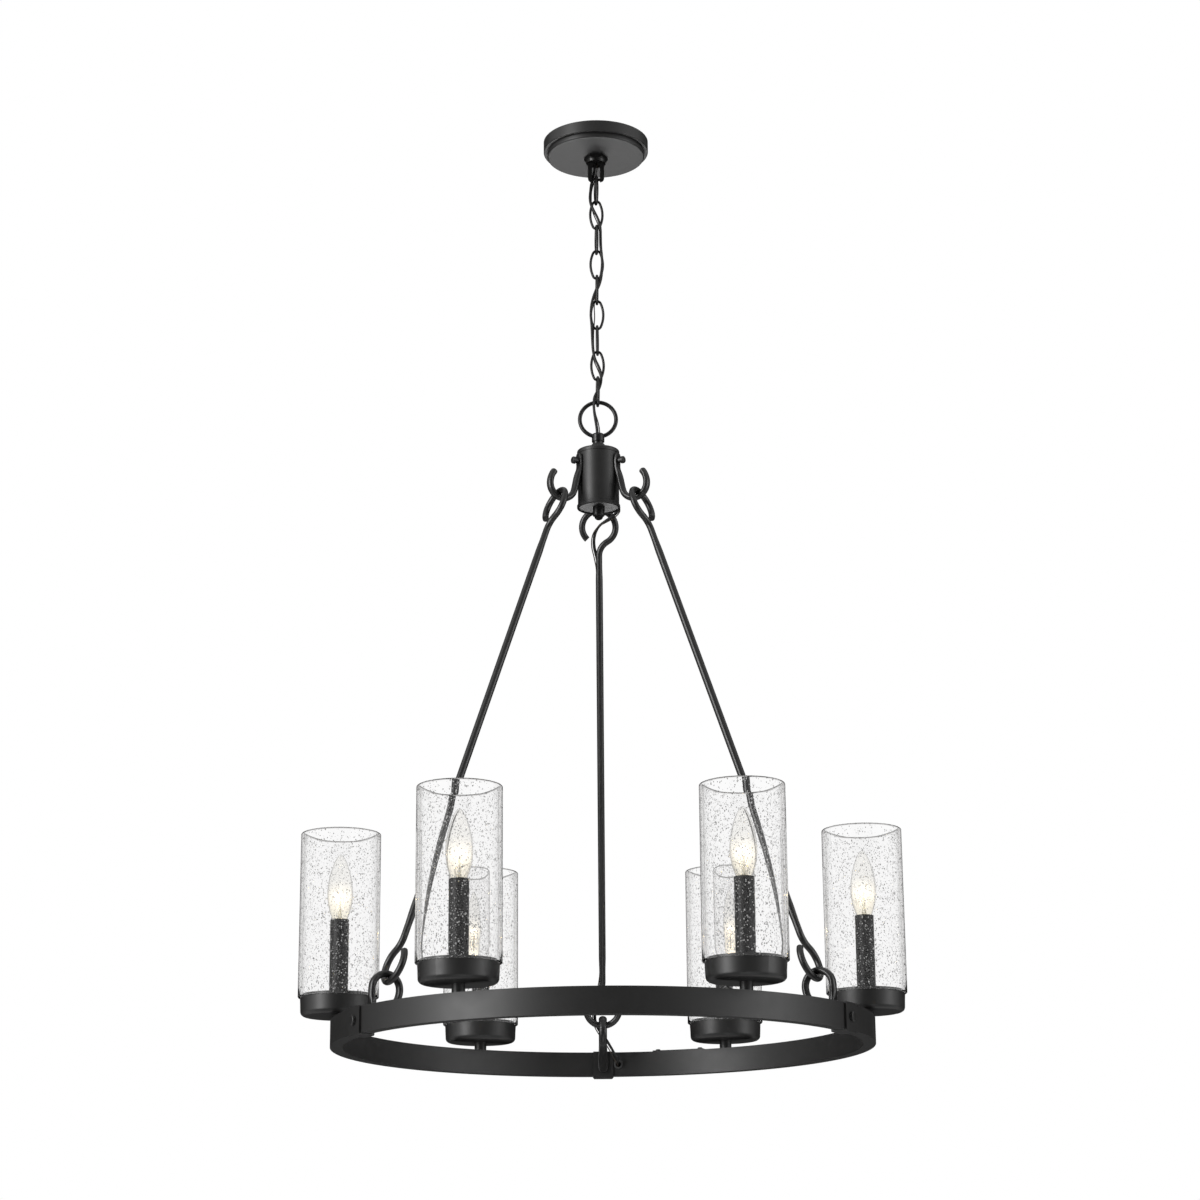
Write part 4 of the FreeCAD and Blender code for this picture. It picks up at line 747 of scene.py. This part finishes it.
def seeds(rng, centre, base, height, kind, form):
    """Gas bubbles inside the wall, drawn out upward, their faces turned inward."""
    count, smallest, largest = kind
    form_points, form_faces = form
    inward = turned_inward(form_faces)
    points, faces = [], []
    for _ in range(count):
        size = smallest + (largest - smallest) * rng.random() ** SEED_SKEW
        turn = rng.random() * 2 * math.pi
        room = max(0.0, GLASS_WALL - 2 * size - 2 * SEED_SKIN)
        radius = GLASS_RADIUS - GLASS_WALL + size + SEED_SKIN + rng.random() * room
        place = Vector((centre[0] + radius * math.cos(turn), centre[1] + radius * math.sin(turn),
                        base + SEED_MARGIN + rng.random() * (height - 2 * SEED_MARGIN)))
        tall = 1.0 + 0.7 * rng.random()
        faces += shifted(inward, len(points))
        points += [(place.x + size * x, place.y + size * y, place.z + size * tall * z)
                   for x, y, z in form_points]
    return points, faces


def glass_outline(base, top, steps=12, lip_steps=5):
    """The wall in section, with a soft fire-polished lip at both ends."""
    inner = GLASS_RADIUS - GLASS_WALL
    lip = GLASS_LIP
    outline = arc((GLASS_RADIUS - lip, base + lip), lip, -90, 0, lip_steps)
    outline += [(GLASS_RADIUS, base + (top - base) * k / steps) for k in range(1, steps)]
    outline += arc((GLASS_RADIUS - lip, top - lip), lip, 0, 90, lip_steps)
    outline += arc((inner + lip, top - lip), lip, 90, 180, lip_steps)
    outline += [(inner, top - (top - base) * k / steps) for k in range(1, steps)]
    outline += arc((inner + lip, base + lip), lip, 180, 270, lip_steps)
    return outline


def make_shades():
    glass, bubble = seeded_glass(), seed_bubble()
    kinds = ((SMALL_SEEDS, octahedron()), (LARGE_SEEDS, rounder(*octahedron())))
    for index, centre in enumerate(light_places()):
        node = f"glass_shade_{index + 1}"
        low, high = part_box(node)
        base, top = low[2] + GLASS_END_GAP, high[2] - GLASS_END_GAP
        rng = random.Random(FIRST_RANDOM_SEED + index)
        points, faces = lathe(glass_outline(base, top), centre, around=96, closed=True)
        slots = [0] * len(faces)
        for kind, form in kinds:
            more_points, more_faces = seeds(rng, centre, base, top - base, kind, form)
            faces += shifted(more_faces, len(points))
            points += more_points
            slots += [1] * len(more_faces)
        piece = new_piece(f"seeded_cylinder_{index + 1}", points, faces, [glass, bubble], slots)
        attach(piece, f"glass_{index + 1}")
        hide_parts(node)


# Lamps

def envelope(centre, base, around=40):
    """The lamp's thin wall: its outer skin up to the tip and its inner skin back down."""
    floor, tip = 0.001, 0.0008
    outer = smooth_outline(BULB_OUTLINE, BULB_RADIUS, base, BULB_HEIGHT)
    inner = smooth_outline(BULB_OUTLINE, BULB_RADIUS - BULB_WALL, base + floor, BULB_HEIGHT - floor - tip)
    points, faces = lathe(outer, centre, around)
    more_points, more_faces = lathe(inner, centre, around)
    rim = len(points)
    faces += shifted(turned_inward(more_faces), rim)
    faces += [(rim + k, rim + (k + 1) % around, (k + 1) % around, k) for k in range(around)]
    return points + more_points, faces


def screw_cap(centre, top):
    """A small screw base with a rolled thread, a glass bead at its foot and its contact."""
    foot = top - BULB_CAP_LENGTH
    turns, steps, thread_start, without_thread = 5, 6, 0.0046, 0.0072
    valley_depth, thread_height = 0.0007, 0.0006
    outline = [(radius, foot + height) for radius, height in CAP_FOOT]
    pitch = (BULB_CAP_LENGTH - without_thread) / turns
    for k in range(turns * steps + 1):
        swell = 0.5 - 0.5 * math.cos(2 * math.pi * k / steps)
        outline.append((BULB_CAP_RADIUS - valley_depth + thread_height * swell,
                        foot + thread_start + pitch * k / steps))
    outline += [(BULB_CAP_RADIUS - inset, top + height) for inset, height in CAP_RIM]
    outline.append((0.0, top + CAP_RIM[-1][1]))
    return lathe(outline, centre, around=32)


def glass_stem(centre, base):
    return lathe([(radius, base + height) for radius, height in STEM_OUTLINE], centre, around=20)


def filament_line(centre, base):
    """A coil slung in an arch between the two lead wires."""
    half_span, ends_at, rise, coil = 0.0062, 0.036, 0.0034, 0.0008
    loops, steps = 9, 8
    line = []
    for k in range(loops * steps + 1):
        share = k / (loops * steps)
        turn = 2 * math.pi * loops * share
        line.append(Vector((centre[0] + half_span * (2 * share - 1), centre[1] + coil * math.cos(turn),
                            base + ends_at + rise * math.sin(math.pi * share) + coil * math.sin(turn))))
    return line


def lead_line(centre, base, side):
    return smooth_line("lead", [(centre[0] + side * x, centre[1], base + z) for x, z in LEAD_POINTS], 5)


def make_lamps():
    glass, inner, hot, brass, steel = lamp_glass(), stem_glass(), hot_filament(), brass_cap(), zinc_plate()
    coil, wire = circle(FILAMENT_WIRE_RADIUS, 6), circle(LEAD_WIRE_RADIUS, 6)
    for index, centre in enumerate(light_places()):
        node = f"bulb_{index + 1}"
        name = f"lamp_{index + 1}"
        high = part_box(node)[1]
        base = high[2] - BULB_HEIGHT
        pieces = [new_piece(f"{name}_envelope", *envelope(centre, base), [glass]),
                  new_piece(f"{name}_cap", *screw_cap(centre, base), [brass]),
                  new_piece(f"{name}_stem", *glass_stem(centre, base), [inner]),
                  tube_piece(f"{name}_filament", section_rings(filament_line(centre, base), coil), hot)]
        for side, word in ((-1, "left"), (1, "right")):
            rings = section_rings(lead_line(centre, base, side), wire)
            pieces.append(tube_piece(f"{name}_lead_{word}", rings, steel))
        for piece in pieces:
            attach(piece, node)
        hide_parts(node)


# The solids that stay as they are

def dress(names, material):
    """Gives carried-over solids their finish."""
    for name in names:
        for slot in frame["nodes"][name].material_slots:
            slot.link = "OBJECT"
            slot.material = material


def dress_solids():
    turned = powder_coat("coat_on_turned_parts", 0.008, 0.45)
    bars = powder_coat("coat_on_bars", 0.008, 0.35, peel=0.00005)
    band = powder_coat("coat_on_ring", 0.008, 0.46)
    sleeves = powder_coat("coat_on_sleeves", 0.005, 0.50, peel=0.00004, gloss=0.18)
    links = powder_coat("coat_on_links", 0.005, 0.32, gloss=0.3)
    bolts = powder_coat("coat_on_bolts", 0.007, 0.42, peel=0.00005)
    dress(["canopy", "hub_lid", "hub_barrel", "hub_bottom_plate", "candle_cups", "candle_stems"], turned)
    dress(["canopy_loop", "collar_nut", "hub_loop", "hub_nipple", "hub_cap_nut"], links)
    dress([f"chain_link_{n}" for n in range(1, LINK_COUNT + 1)], links)
    dress([f"{kind}_{side}" for kind in ("hub_hook", "ring_hook", "rod")
           for side in ("back", "left", "right")], bars)
    dress(["ring_tube", "wiring_cover", "ring_clips"], band)
    dress(["hub_bolts", "ring_bolts", "cover_screws"], bolts)
    dress(["candle_sleeves"], sleeves)
    dress(["mounting_strap", "strap_fasteners", "ceiling_nipple", "candle_nipples", "wire_splices"],
          zinc_plate())
    dress(["candle_sockets"], porcelain())
    dress(["cord_grommet"], soft_rubber())
    dress(["ring_harness"], cord_sheath())


def link_lamps():
    """The lamps pass the clear glass and leave no image in it, and the bounce lights two solids only."""
    clear = bpy.data.collections.new("clear_glass")
    for number in range(1, LIGHT_COUNT + 1):
        clear.objects.link(bpy.data.objects[f"seeded_cylinder_{number}"])
        clear.objects.link(bpy.data.objects[f"lamp_{number}_envelope"])
    for member in clear.collection_objects:
        member.light_linking.link_state = "EXCLUDE"
    for piece in bpy.data.objects:
        if piece.type == "LIGHT":
            piece.light_linking.receiver_collection = clear
            piece.light_linking.blocker_collection = clear
    above = bpy.data.collections.new("lit_by_the_bounce")
    for name in ("canopy", "hub_bottom_plate"):
        above.objects.link(frame["nodes"][name])
    bpy.data.objects["bounce"].light_linking.receiver_collection = above


def main():
    bpy.context.scene.view_settings.view_transform = "Standard"
    aim_camera()
    make_cords()
    light_world()
    light_studio()
    lay_floor()
    hang_dark_cards()
    dress_solids()
    make_shades()
    make_lamps()
    link_lamps()


main()
